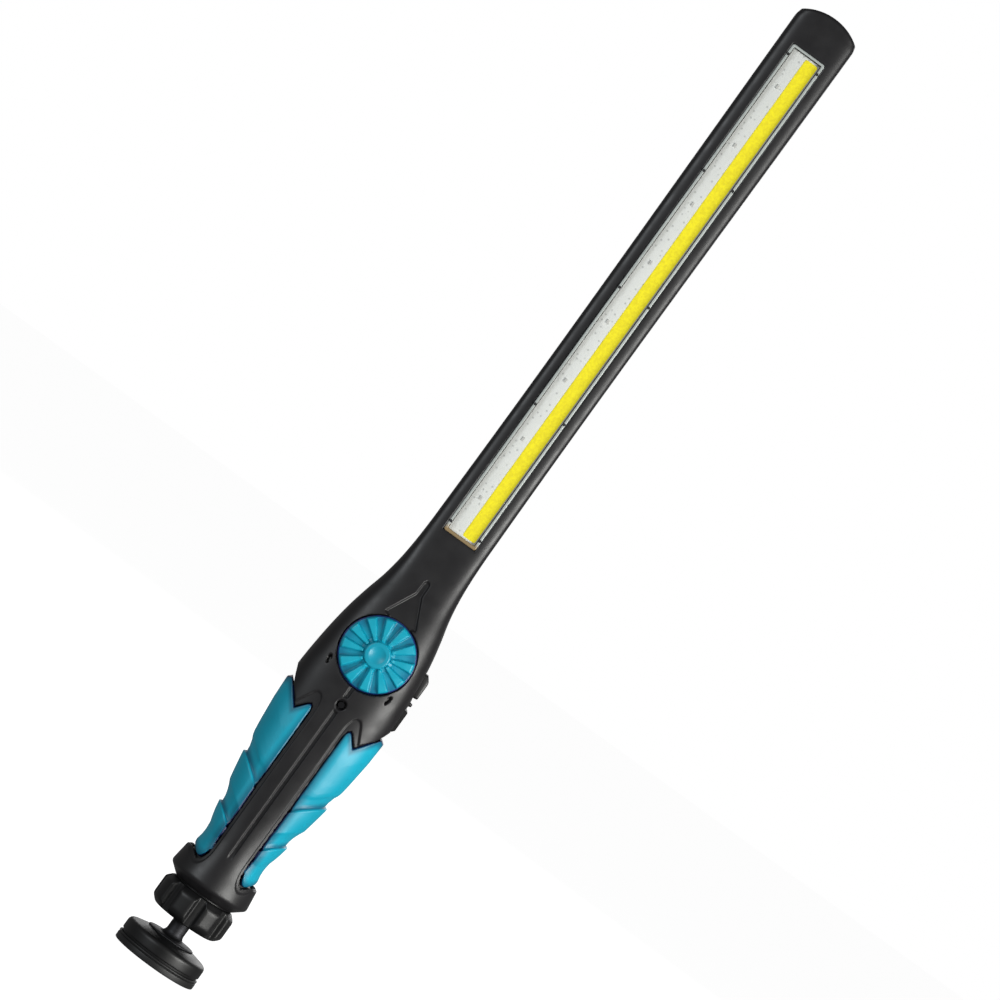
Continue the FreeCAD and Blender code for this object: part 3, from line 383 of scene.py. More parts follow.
def add_piece(name, verts, faces, stands_for, painted_shade=None, sharp=50.0):
    """A smooth-shaded piece in millimetres that takes the place of a CAD node."""
    mesh = bpy.data.meshes.new(name)
    mesh.from_pydata((np.asarray(verts, dtype=float) * MM).tolist(), [], faces)
    mesh.validate()
    mesh.polygons.foreach_set("use_smooth", np.ones(len(mesh.polygons), dtype=bool))
    mesh.set_sharp_from_angle(angle=math.radians(sharp))
    # Painted shade per vertex, 0 to 1, which the material mixes in as its darker colour.
    if painted_shade is not None:
        layer = mesh.attributes.new("painted_shade", "FLOAT", "POINT")
        layer.data.foreach_set("value", np.asarray(painted_shade, dtype=np.float32))
    mesh.materials.append(MATERIALS[SLOT_OF[stands_for]])
    item = bpy.data.objects.new(name, mesh)
    scene.collection.objects.link(item)
    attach(item, BODY_OF[stands_for])
    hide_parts(stands_for)


def grid_normals(points):
    """Unit normals of a grid of points, row by column."""
    along = np.gradient(points, axis=0)
    across = np.gradient(points, axis=1)
    normal = np.cross(across, along)
    return normal / np.maximum(np.linalg.norm(normal, axis=2, keepdims=True), 1e-9)


def closed_sheet(outer, inner, step, hole=None, flip=False):
    """Joins a fine outer grid and a coarse inner grid, every step-th line of it, into one solid.

    hole is (first row, last row, first column, last column) of an opening, all multiples of step.
    """
    rows, columns = outer.shape[:2]
    inner_rows, inner_columns = inner.shape[:2]
    base = rows * columns

    def out(row, column):
        return row * columns + column

    def inn(row, column):
        return base + row * inner_columns + column

    def open_at(row, column):
        return hole and hole[0] <= row < hole[1] and hole[2] <= column < hole[3]

    faces = []
    for row in range(rows - 1):
        for column in range(columns - 1):
            if not open_at(row, column):
                faces.append((out(row, column), out(row, column + 1), out(row + 1, column + 1),
                              out(row + 1, column)))
    for row in range(inner_rows - 1):
        for column in range(inner_columns - 1):
            if not open_at(row * step, column * step):
                faces.append((inn(row, column), inn(row + 1, column), inn(row + 1, column + 1),
                              inn(row, column + 1)))

    def wall(first_row, last_row, first_column, last_column, inward):
        for column in range(first_column, last_column, step):
            low = [out(first_row, column + k) for k in range(step, -1, -1)]
            low += [inn(first_row // step, column // step), inn(first_row // step, column // step + 1)]
            high = [out(last_row, column + k) for k in range(step + 1)]
            high += [inn(last_row // step, column // step + 1), inn(last_row // step, column // step)]
            faces.extend([tuple(low[::-1]), tuple(high[::-1])] if inward else [tuple(low), tuple(high)])
        for row in range(first_row, last_row, step):
            low = [out(row + k, first_column) for k in range(step + 1)]
            low += [inn(row // step + 1, first_column // step), inn(row // step, first_column // step)]
            high = [out(row + k, last_column) for k in range(step, -1, -1)]
            high += [inn(row // step, last_column // step), inn(row // step + 1, last_column // step)]
            faces.extend([tuple(low[::-1]), tuple(high[::-1])] if inward else [tuple(low), tuple(high)])

    wall(0, rows - 1, 0, columns - 1, False)
    if hole:
        wall(*hole, True)
    if flip:
        faces = [face[::-1] for face in faces]
    verts = np.concatenate([outer.reshape(-1, 3), inner.reshape(-1, 3)])
    return verts, faces


def inside_distance(x, z, corners):
    """Distance from each point to a closed outline, positive inside."""
    x, z = np.asarray(x, dtype=float), np.asarray(z, dtype=float)
    nearest = np.full(x.shape, 1e9)
    inside = np.zeros(x.shape, dtype=bool)
    for (x0, z0), (x1, z1) in zip(corners, corners[1:] + corners[:1]):
        dx, dz = x1 - x0, z1 - z0
        share = np.clip(((x - x0) * dx + (z - z0) * dz) / (dx * dx + dz * dz), 0, 1)
        nearest = np.minimum(nearest, np.hypot(x - x0 - share * dx, z - z0 - share * dz))
        crosses = (z0 > z) != (z1 > z)
        safe = dz if abs(dz) > 1e-9 else 1e-9
        inside ^= crosses & (x < x0 + (z - z0) * dx / safe)
    return np.where(inside, nearest, -nearest)


def ring_faces(rings, count, closed=False):
    """Quads between rings of count points, and from the last ring to the first if closed."""
    faces = []
    for row in range(rings if closed else rings - 1):
        start, following = row * count, (row + 1) % rings * count
        for step in range(count):
            after = (step + 1) % count
            faces.append((start + step, start + after, following + after, following + step))
    return faces


def lathe(name, stands_for, profile, segments=144, modulate=None, sharp=40.0):
    """A solid turned about Z from a closed or axis-ended profile of (radius, height) points."""
    profile = np.asarray(profile, dtype=float)
    angles = np.linspace(0, 2 * math.pi, segments, endpoint=False)
    radius, angle = np.meshgrid(profile[:, 0], angles, indexing="ij")
    height = np.repeat(profile[:, 1:2], segments, axis=1)
    if modulate:
        radius = modulate(radius, angle)
    verts = np.stack([radius * np.cos(angle), radius * np.sin(angle), height], axis=2).reshape(-1, 3)
    rows = len(profile)
    on_axis = profile[0, 0] < 1e-6 and profile[-1, 0] < 1e-6
    faces = ring_faces(rows, segments, closed=not on_axis)
    if on_axis:
        verts, faces = weld_ends(verts, faces, rows, segments)
    add_piece(name, verts, faces, stands_for, sharp=sharp)


def weld_ends(verts, faces, rows, segments):
    """Makes one vertex of each end ring that lies on the axis."""
    last = (rows - 1) * segments
    renamed = []
    for face in faces:
        merged = []
        for vertex in face:
            vertex = 0 if vertex < segments else last if vertex >= last else vertex
            if vertex not in merged:
                merged.append(vertex)
        renamed.append(tuple(merged))
    keep = sorted({vertex for face in renamed for vertex in face})
    place = {vertex: index for index, vertex in enumerate(keep)}
    return verts[keep], [tuple(place[vertex] for vertex in face) for face in renamed if len(face) > 2]


def rounded_path(corners, radius, steps=5):
    """Rounds each inner corner of an open path with a small arc."""
    result = [corners[0]]
    for before, corner, after in zip(corners, corners[1:], corners[2:]):
        p, q, r = (np.array(point, dtype=float) for point in (before, corner, after))
        to_p, to_r = p - q, r - q
        reach = min(radius, np.linalg.norm(to_p) * 0.45, np.linalg.norm(to_r) * 0.45)
        start = q + to_p / np.linalg.norm(to_p) * reach
        end = q + to_r / np.linalg.norm(to_r) * reach
        for share in np.linspace(0, 1, steps):
            point = (1 - share) ** 2 * start + 2 * share * (1 - share) * q + share ** 2 * end
            result.append(tuple(point))
    result.append(corners[-1])
    return result


def divided(path, spacing):
    """Points along a path of straight runs, each run in equal steps of about the spacing."""
    points = []
    for (r0, z0), (r1, z1) in zip(path, path[1:]):
        count = max(1, int(math.hypot(r1 - r0, z1 - z0) / spacing))
        for step in range(count):
            points.append((r0 + (r1 - r0) * step / count, z0 + (z1 - z0) * step / count))
    return points


# ---------------------------------------------------------------- the housing

# Height, half width, half depth and squareness of the housing's superellipse sections.
STATIONS = np.array([
    (41.5, 13.4, 15.0, 2.10), (50.0, 12.8, 14.6, 2.10), (62.0, 14.2, 14.1, 2.20),
    (75.0, 16.8, 14.0, 2.35), (90.0, 19.2, 14.0, 2.50), (104.0, 20.4, 14.0, 2.65),
    (118.0, 20.95, 14.0, 2.80), (128.0, 20.4, 14.0, 2.90), (138.0, 19.4, 13.9, 3.00),
    (146.0, 18.2, 13.2, 3.10), (154.0, 16.5, 12.0, 3.30), (162.0, 14.5, 10.4, 3.60),
    (170.0, 13.2, 8.9, 4.00), (178.0, 12.5, 7.6, 4.50), (187.0, 12.15, 6.7, 4.90),
    (196.0, 12.05, 6.5, 5.00), (420.0, 12.5, 6.5, 5.00),
])
# Outlines on the right half, as (x, height), which the left half mirrors. The pocket holds the grip,
# and the rebate is the narrow step round it.
POCKET_OUTLINE = [(10.3, 41.0), (9.5, 41.2), (8.7, 42.0), (8.0, 43.3), (7.5, 44.9), (7.3, 46.5),
                  (7.3, 106.5), (7.7, 108.8), (8.8, 109.8), (10.0, 109.1), (13.3, 105.3),
                  (18.3, 111.6), (19.75, 114.6), (21.0, 117.6), (24.0, 117.6), (24.0, 43.5),
                  (14.0, 43.7), (12.4, 42.2), (11.2, 41.3)]
REBATE_OUTLINE = [(10.3, 39.2), (9.4, 39.3), (8.5, 39.8), (7.6, 40.9), (6.9, 42.5), (6.4, 44.5),
                  (6.2, 46.5), (6.0, 107.0), (6.2, 110.6), (6.9, 113.3), (7.9, 114.5), (9.3, 114.6),
                  (10.5, 113.4), (14.0, 106.9), (18.4, 111.9), (19.9, 114.8), (21.2, 117.9),
                  (25.0, 117.9), (25.0, 43.2), (14.2, 42.4), (13.2, 41.0), (12.2, 40.0),
                  (11.2, 39.4)]
Y_RECESS = [(-1.5, 168.2), (-0.8, 169.4), (0.8, 169.4), (1.5, 168.2), (1.6, 163.5), (7.2, 152.0),
            (0.0, 149.0), (-7.2, 152.0), (-1.6, 163.5)]
TOP = 418.5
TIP_RADIUS = 22.3
WINDOW_HALF, WINDOW_LOW, WINDOW_HIGH = 7.05, 187.75, 402.65
# The knob's centre, its recess's radius and how far the recess's floor is from the middle plane.
DIAL_X, DIAL_Z, DIAL_RECESS, DIAL_FLOOR = 0.3, 137.35, 14.45, 11.2
STATUS_X, STATUS_Z = 0.3, 115.4
# Drop-shaped hollows on both sides below the knob.
DROP_X, DROP_Z = 13.1, 126.3
# On the right side of the head: the x of each recess's floor and its lowest and highest z, and the
# nub's x and z.
BUTTON_FLOOR, BUTTON_SPAN = 16.6, (131.7, 142.0)
COVER_FLOOR, COVER_SPAN = 19.55, (117.3, 127.0)
NUB_TOP, NUB_Z = 21.4, 129.25
SEAM_DEPTH = 0.3
# The collar at the foot of the handle: its section as (radius, height), where it blends into the
# handle, its half depth there, and the slopes of the blend at its two ends.
COLLAR_PROFILE = [(11.15, 33.4), (11.15, 30.9), (12.3, 30.9), (16.4, 34.25), (15.2, 43.2),
                  (13.4, 43.6), (13.35, 43.9)]
COLLAR_TOP = 43.9
BLEND_LOW, BLEND_HIGH = 35.2, 52.0
COLLAR_DEPTH = 16.3
COLLAR_SLOPE, HANDLE_SLOPE = -2.6, -0.7
# Mesh: columns round half the housing, columns of half the window, and lines of the fine outer
# surface for each line of the inner one.
COLUMNS = 241
WINDOW_COLUMNS = 52
COARSE = 4


def cubic(share, start, start_slope, end, end_slope):
    """A curve from start to end with the given slopes, as share goes from 0 to 1."""
    return (start * (2 * share ** 3 - 3 * share ** 2 + 1)
            + start_slope * (share ** 3 - 2 * share ** 2 + share)
            + end * (3 * share ** 2 - 2 * share ** 3) + end_slope * (share ** 3 - share ** 2))


def stations_at(heights):
    """Smooth interpolation of the stations: half width, half depth, squareness."""
    heights = np.asarray(heights, dtype=float)
    z = STATIONS[:, 0]
    spans = np.diff(z)
    result = []
    for column in (1, 2, 3):
        values = STATIONS[:, column]
        slopes = np.diff(values) / spans
        tangents = np.empty_like(values)
        tangents[0], tangents[-1] = slopes[0], slopes[-1]
        tangents[1:-1] = (slopes[:-1] * spans[1:] + slopes[1:] * spans[:-1]) / (spans[:-1] + spans[1:])
        index = np.clip(np.searchsorted(z, heights) - 1, 0, len(spans) - 1)
        span = spans[index]
        share = np.clip((heights - z[index]) / span, 0, 1)
        result.append(cubic(share, values[index], span * tangents[index],
                            values[index + 1], span * tangents[index + 1]))
    return result


def half_section(width, depth, square, window_share):
    """One row of points from -X round the front to +X, spaced by arc length."""
    angle = np.linspace(0, math.pi, 1441)
    x = -width * np.sign(np.cos(angle)) * np.abs(np.cos(angle)) ** (2 / square)
    y = -depth * np.abs(np.sin(angle)) ** (2 / square)
    length = np.concatenate([[0], np.cumsum(np.hypot(np.diff(x), np.diff(y)))])
    length -= length[-1] / 2
    half = length[-1]
    share = np.linspace(-1, 1, COLUMNS)
    even = share * half
    edge = np.interp(WINDOW_HALF, x, length)
    edge_share = WINDOW_COLUMNS / ((COLUMNS - 1) / 2)
    inner = share / edge_share * edge
    outer = np.sign(share) * (edge + (np.abs(share) - edge_share) / (1 - edge_share) * (half - edge))
    windowed = np.where(np.abs(share) <= edge_share, inner, outer)
    wanted = even + (windowed - even) * window_share
    return np.interp(wanted, length, x), np.interp(wanted, length, y)


def flare_depth(height):
    """Half depth of the collar's shoulder, which runs into the handle without a step."""
    share = min(max((height - BLEND_LOW) / (BLEND_HIGH - BLEND_LOW), 0), 1)
    return cubic(share, COLLAR_DEPTH, COLLAR_SLOPE, float(stations_at([BLEND_HIGH])[1][0]), HANDLE_SLOPE)


def flare_rows():
    """Rows of the flared collar, from inside its bore, round its edges, up to its shoulder."""
    rows = []
    for radius, height in divided(rounded_path(COLLAR_PROFILE, 1.0, 9), 0.45):
        rows.append((height, radius, flare_depth(height) if height > BLEND_LOW else radius, 2.0))
    return rows


def smooth_throat(lines):
    """Runs the front of the collar into the handle in one curve; its shoulder stays at the sides."""
    width, depth, square = (float(value[0]) for value in stations_at([BLEND_HIGH]))
    for line in lines:
        x, height = np.abs(line[:, 0]), line[0, 2]
        if BLEND_LOW < height < BLEND_HIGH:
            share = (height - BLEND_LOW) / (BLEND_HIGH - BLEND_LOW)
            start = np.sqrt(COLLAR_DEPTH ** 2 - x ** 2)
            end = depth * np.clip(1 - (x / width) ** square, 0, 1) ** (1 / square)
            curve = cubic(share, start, COLLAR_SLOPE, end, HANDLE_SLOPE)
            line[:, 1] += (-curve - line[:, 1]) * smooth(12.4, 8.5, x)


def housing_grid():
    """The plain outer surface of the front half: points, and rows and columns of the window."""
    rows = flare_rows()
    low_count = 400 - len(rows) % COARSE + COARSE
    heights = np.linspace(44.1, WINDOW_LOW, low_count + 1)
    for height, width, depth, square in zip(heights, *stations_at(heights)):
        if height < BLEND_HIGH:
            depth = flare_depth(height)
        rows.append((height, width, depth, square))
    window_first = len(rows) - 1
    heights = np.linspace(WINDOW_LOW, WINDOW_HIGH, 97)[1:]
    for height, width, depth, square in zip(heights, *stations_at(heights)):
        rows.append((height, width, depth, square))
    window_last = len(rows) - 1
    lines = []
    for height, width, depth, square in rows:
        share = float(smooth(150.0, 184.0, height))
        x, y = half_section(width, depth, square, share)
        lines.append(np.stack([x, y, np.full(COLUMNS, height)], axis=1))
    smooth_throat(lines)
    width, depth, square = (float(value[0]) for value in stations_at([WINDOW_HIGH + 6]))
    x, y = half_section(width, depth, square, 1.0)
    end = TOP - TIP_RADIUS + np.sqrt(TIP_RADIUS ** 2 - x ** 2)
    rounding = 1.3
    tip = []
    for share in np.linspace(0, 1, 29)[1:]:
        tip.append((WINDOW_HIGH + (end - rounding - WINDOW_HIGH) * share, 0.0))
    for angle in np.linspace(0, math.pi / 2, 9)[1:]:
        tip.append((end - rounding * (1 - math.sin(angle)), rounding * (1 - math.cos(angle))))
    for height, pull in tip:
        corner = smooth(TOP - 6.4, TOP - 3.4, height) * 0.55
        px = x * (1 - corner / width)
        lines.append(np.stack([px, y * (1 - pull / depth), height], axis=1))
    last = lines[-1]
    for share in (0.3, 0.6, 0.85, 1.0):
        row = last.copy()
        row[:, 1] *= 1 - share
        lines.append(row)
    while (len(lines) - 1) % COARSE:
        lines.insert(-1, (lines[-2] + lines[-1]) / 2)
    half = (COLUMNS - 1) // 2
    hole = (window_first, window_last, half - WINDOW_COLUMNS, half + WINDOW_COLUMNS)
    return np.array(lines), hole


def pocket_depth(points):
    """How far the grips' pockets and their rebates sink below the plain surface."""
    x, z = np.abs(points[..., 0]), points[..., 2]
    pocket = smooth(-0.2, 0.25, inside_distance(x, z, POCKET_OUTLINE))
    rebate = smooth(-0.25, 0.2, inside_distance(x, z, REBATE_OUTLINE))
    deep = 1.8 + 1.0 * smooth(47.0, 43.5, z) + 1.3 * smooth(109.5, 112.0, z) * smooth(15.5, 17.5, x)
    return np.where(z > 34.5, np.maximum(pocket * deep, rebate * 0.5), 0.0)


def front_depth(points):
    """How far each feature of the front half sinks below the plain surface."""
    x, z = points[..., 0], points[..., 2]
    depth = pocket_depth(points)

    # The groove along the middle of the handle, and the status lens's well with a plain ring round it.
    groove = smooth(1.05, 0.5, np.abs(x)) * smooth(46.5, 50.5, z) * smooth(124.5, 123.5, z)
    depth = np.maximum(depth, 0.85 * groove)
    from_lens = np.hypot(x - STATUS_X, z - STATUS_Z)
    depth = np.maximum(depth, 0.9 * smooth(2.15, 1.75, from_lens) + 1.9 * smooth(1.45, 1.2, from_lens))
    depth = depth * (1 - smooth(3.4, 2.9, from_lens) * smooth(1.8, 2.2, from_lens))

    # The Y-shaped recess above the knob, and the drop-shaped hollows below it.
    recess = smooth(0.0, 0.75, inside_distance(x, z, Y_RECESS))
    depth = np.maximum(depth, 0.95 * recess)
    for side in (-1, 1):
        dx, dz = x - side * DROP_X, z - DROP_Z
        along = dz + side * 0.16 * dx
        across = dx - side * 0.16 * dz
        drop = np.hypot(across / (0.62 + 0.08 * along), along / 1.5)
        depth = np.maximum(depth, 1.5 * smooth(1.35, 0.75, drop))

    # The shallow step round the window.
    window = np.maximum(np.abs(x) - WINDOW_HALF, np.maximum(WINDOW_LOW - z, z - WINDOW_HIGH))
    edge = smooth(0.5, 0.0, window) * (z > WINDOW_LOW - 1)
    return np.maximum(depth, 0.18 * edge)


# Each screw's hole in the rear half, as its x, its z and how far its seat is from the middle plane.
SCREWS = [(-13.6, 121.0, 6.5), (-12.4, 150.0, 5.5), (12.4, 150.0, 5.5), (0.0, 181.5, 3.4),
          (0.0, 409.0, 3.4)]


def side_recesses(points, cover_reach):
    """Sinks the button's and the port cover's recesses, and raises the nub between them."""
    x, y, z = points[..., 0], points[..., 1], points[..., 2]
    right = x > 12

    def inside(y_half, span):
        low, high = span
        return (smooth(y_half + 0.25, y_half - 0.1, np.abs(y)) * smooth(low - 0.25, low + 0.1, z)
                * smooth(high + 0.25, high - 0.1, z) * right)

    button = inside(3.9, BUTTON_SPAN)
    x = np.where(right, x + (np.minimum(x, BUTTON_FLOOR) - x) * button, x)
    cover = inside(cover_reach, COVER_SPAN)
    x = np.where(right, x + (np.minimum(x, COVER_FLOOR) - x) * cover, x)
    nub = smooth(0.85, 0.6, np.hypot(y, z - NUB_Z)) * right
    x = np.where(right, x + (NUB_TOP - x) * nub, x)
    return np.stack([x, y, z], axis=2)


def make_shell(name, front):
    """One half of the housing: its sunk outer surface, its wall and its coarser inner face."""
    plain, hole = housing_grid()
    normal = grid_normals(plain)
    depth = front_depth(plain) if front else pocket_depth(plain)
    if not front:
        for x, z, seat in SCREWS:
            away = np.hypot(plain[..., 0] - x, plain[..., 2] - z)
            sunk = np.maximum(-plain[..., 1] - seat, 0)
            depth = np.maximum(depth, sunk * smooth(2.75, 2.35, away))
    seam = np.zeros_like(depth)
    seam[:, 0] = seam[:, -1] = SEAM_DEPTH
    points = plain - normal * (depth + seam)[..., None]
    points[:, [0, -1], 1] = 0.0
    if front:
        away = np.hypot(plain[..., 0] - DIAL_X, plain[..., 2] - DIAL_Z)
        sunk = smooth(DIAL_RECESS + 0.3, DIAL_RECESS - 0.1, away) * (plain[..., 1] < 0)
        points[..., 1] += (np.maximum(points[..., 1], -DIAL_FLOOR) - points[..., 1]) * sunk
    points = side_recesses(points, 4.75 if front else 6.5)
    wall = 3.3 - 1.6 * smooth(165.0, 186.0, plain[..., 2])
    wall = np.where(plain[..., 2] < COLLAR_TOP, 1.9, wall)
    inner = (plain - normal * wall[..., None])[::COARSE, ::COARSE].copy()
    inner[:, [0, -1], 1] = 0.0
    below = inner[..., 2] < 33.0
    inner[..., 2] = np.where(below, 33.5, inner[..., 2])
    shell_hole = hole if front else None
    if not front:
        points[..., 1] *= -1
        inner[..., 1] *= -1
    verts, faces = closed_sheet(points, inner, COARSE, shell_hole, flip=not front)
    # Painted shade: deeper recesses (drops, lens well, grip pockets) go nearer to black; the inner face is
    # fully shaded.
    painted_shade = np.concatenate([smooth(0.7, 1.5, depth).reshape(-1), np.ones(inner[..., 0].size)])
    add_piece(name + "_moulding", verts, faces, name, painted_shade, sharp=62.0)


make_shell("front_shell", True)
make_shell("rear_shell", False)


# ---------------------------------------------------------------- the soft grips

# Half width of the grip's outline by place along it, feather by feather; the two sharp drops are the
# feathers' steps.
SIDE_PROFILE = [(43.6, 13.1), (45.8, 13.35), (48.2, 12.9), (50.4, 12.8), (53.4, 13.1), (55.8, 13.85),
                (58.2, 14.45), (61.45, 15.05), (61.95, 14.0), (64.0, 14.2), (66.2, 14.8), (68.2, 15.6),
                (70.0, 16.5), (73.8, 17.25), (78.0, 18.0), (81.1, 18.5), (81.65, 17.3), (83.4, 17.5),
                (86.0, 18.2), (87.6, 19.0), (89.2, 19.4), (93.0, 19.9), (98.0, 20.4), (103.0, 20.9),
                (112.4, 21.3)]
STEP_SLOPE = 0.74
STEP_PLACES = (61.7, 81.4)
# Inner edge of the grip, and the squareness of its sections.
GRIP_EDGE = 7.5 + 0.1
GRIP_SQUARE = 2.4
GRIP_COLUMNS = 133
GRIP_THICKNESS = 1.45
GRIP_ROUNDING = 1.15
# The outer prong at the grip's top doesn't reach nearer to the middle than this, by height.
PRONG_HEIGHTS = [105.5, 111.5, 113.2]
PRONG_EDGES = [13.7, 18.35, 19.95]


def outline_height(x, top):
    """Height of the grip's top or bottom outline at a given x."""
    if top:
        corners = [(7.5, 106.5), (7.7, 107.9), (8.2, 109.1), (8.8, 109.5), (9.5, 109.2),
                   (13.0, 105.2), (13.35, 105.1), (13.7, 105.5), (18.3, 111.5), (19.4, 112.9),
                   (19.9, 113.2), (21.2, 112.4), (24.0, 112.4)]
    else:
        corners = [(7.5, 46.2), (7.75, 44.9), (8.2, 43.6), (8.9, 42.3), (9.6, 41.6), (10.3, 41.4),
                   (11.1, 41.7), (12.2, 42.6), (13.6, 43.8), (24.0, 43.8)]
    xs, zs = zip(*corners)
    return np.interp(x, xs, zs)


def grip_rows(x_here):
    """Rows from the bottom outline, along both feather steps, to the top outline."""
    marks = [43.8, 61.45, 61.95, 81.1, 81.65, 112.4]
    counts = [44, 3, 48, 3, 84]
    lines = []
    for mark in marks[1:-1]:
        width = np.interp(mark, *zip(*SIDE_PROFILE))
        lines.append(mark - STEP_SLOPE * (width - np.minimum(x_here(mark), width)))
    lines = [outline_height(x_here(43.8), False)] + lines + [outline_height(x_here(112.4), True)]
    heights, places = [], []
    for index, count in enumerate(counts):
        for step in range(count):
            part = step / count
            heights.append(lines[index] + (lines[index + 1] - lines[index]) * part)
            places.append(np.full(GRIP_COLUMNS, marks[index] + (marks[index + 1] - marks[index]) * part))
    heights.append(lines[-1])
    places.append(np.full(GRIP_COLUMNS, marks[-1]))
    return np.array(heights), np.array(places)


def make_grip(name, side):
    """A grip's outer skin with its feather steps and rounded rim, and a coarser inner face."""
    share = np.linspace(-1, 1, GRIP_COLUMNS)
    power = 2 / GRIP_SQUARE

    def x_here(mark):
        width = np.interp(mark, *zip(*SIDE_PROFILE))
        start = math.acos((GRIP_EDGE / width) ** (GRIP_SQUARE / 2))
        return width * np.cos(share * start) ** power

    heights, places = grip_rows(x_here)
    base_width, base_depth = stations_at(np.clip(heights, 44.0, 118.0))[:2]
    lift = np.interp(places, *zip(*SIDE_PROFILE)) - stations_at(np.clip(places, 44.0, 118.0))[0]
    width = base_width + lift
    depth = base_depth - 0.25 + np.clip(lift, -0.8, 0.9) * 0.55
    start = np.arccos(np.clip(GRIP_EDGE / width, 0, 1) ** (GRIP_SQUARE / 2))
    angle = share[None, :] * start
    x = width * np.cos(angle) ** power
    y = -depth * np.sign(angle) * np.abs(np.sin(angle)) ** power
    skin = np.stack([x, y, heights], axis=2)
    normal = grid_normals(skin)
    outward = np.sign(np.sum(normal * np.stack([x, y, heights * 0], axis=2), axis=2, keepdims=True))
    normal = normal * np.where(outward == 0, 1, outward)

    row_gap = np.linalg.norm(np.diff(skin, axis=0), axis=2)
    column_gap = np.linalg.norm(np.diff(skin, axis=1), axis=2)
    from_low = np.vstack([np.zeros((1, GRIP_COLUMNS)), np.cumsum(row_gap, axis=0)])
    from_high = from_low[-1] - from_low
    from_left = np.hstack([np.zeros((len(skin), 1)), np.cumsum(column_gap, axis=1)])
    from_right = from_left[:, -1:] - from_left
    border = np.minimum(np.minimum(from_low, from_high), np.minimum(from_left, from_right))
    near = 1 - np.clip(border / GRIP_ROUNDING, 0, 1)
    inset = GRIP_ROUNDING * (1 - np.sqrt(np.clip(1 - near ** 2, 0, 1)))
    inset = inset * (1 - 0.6 * smooth(17.5, 19.5, x) * smooth(106.0, 110.0, heights))
    crown = 0.35 * smooth(0.0, 5.0, np.minimum(from_left, from_right))
    outer = skin + normal * (crown - 0.3 - inset)[..., None]
    # Painted shade: navy along the rounded rim and just above each feather step; the inner face is fully
    # shaded.
    painted_shade = np.maximum(smooth(1.3, 0.4, border), 0.6 * smooth(4.2, 0.8, border))
    for step_place in STEP_PLACES:
        above = places - step_place
        painted_shade = np.maximum(painted_shade, 0.6 * smooth(3.0, 0.3, above) * (above > 0))
    inner = (skin - normal * GRIP_THICKNESS)[::2, ::2]
    for sheet in (outer, inner):
        prong = np.interp(sheet[..., 2], PRONG_HEIGHTS, PRONG_EDGES)
        prong = prong - 2.0 * smooth(111.2, 109.8, sheet[..., 2]) - 20.0 * (sheet[..., 2] < 109.8)
        sheet[..., 0] = np.maximum(sheet[..., 0], prong)
    verts, faces = closed_sheet(outer, inner, 2, flip=side > 0)
    verts[:, 0] *= side
    painted_shades = np.concatenate([painted_shade.reshape(-1), np.ones(inner[..., 0].size)])
    add_piece(name + "_moulding", verts, faces, name, painted_shades, sharp=70.0)


make_grip("grip_right", 1)
make_grip("grip_left", -1)


# ---------------------------------------------------------------- the dimmer knob

KNOB_RADIUS = 14.2
KNOB_RIBS = 12
FIRST_RIB = math.radians(76.1)
# How far the knob's back, skirt, valleys, crests and hub are from the middle plane.
KNOB_BACK, KNOB_SKIRT, KNOB_VALLEY, KNOB_CREST, KNOB_HUB = 11.45, 12.35, 13.15, 14.55, 15.45


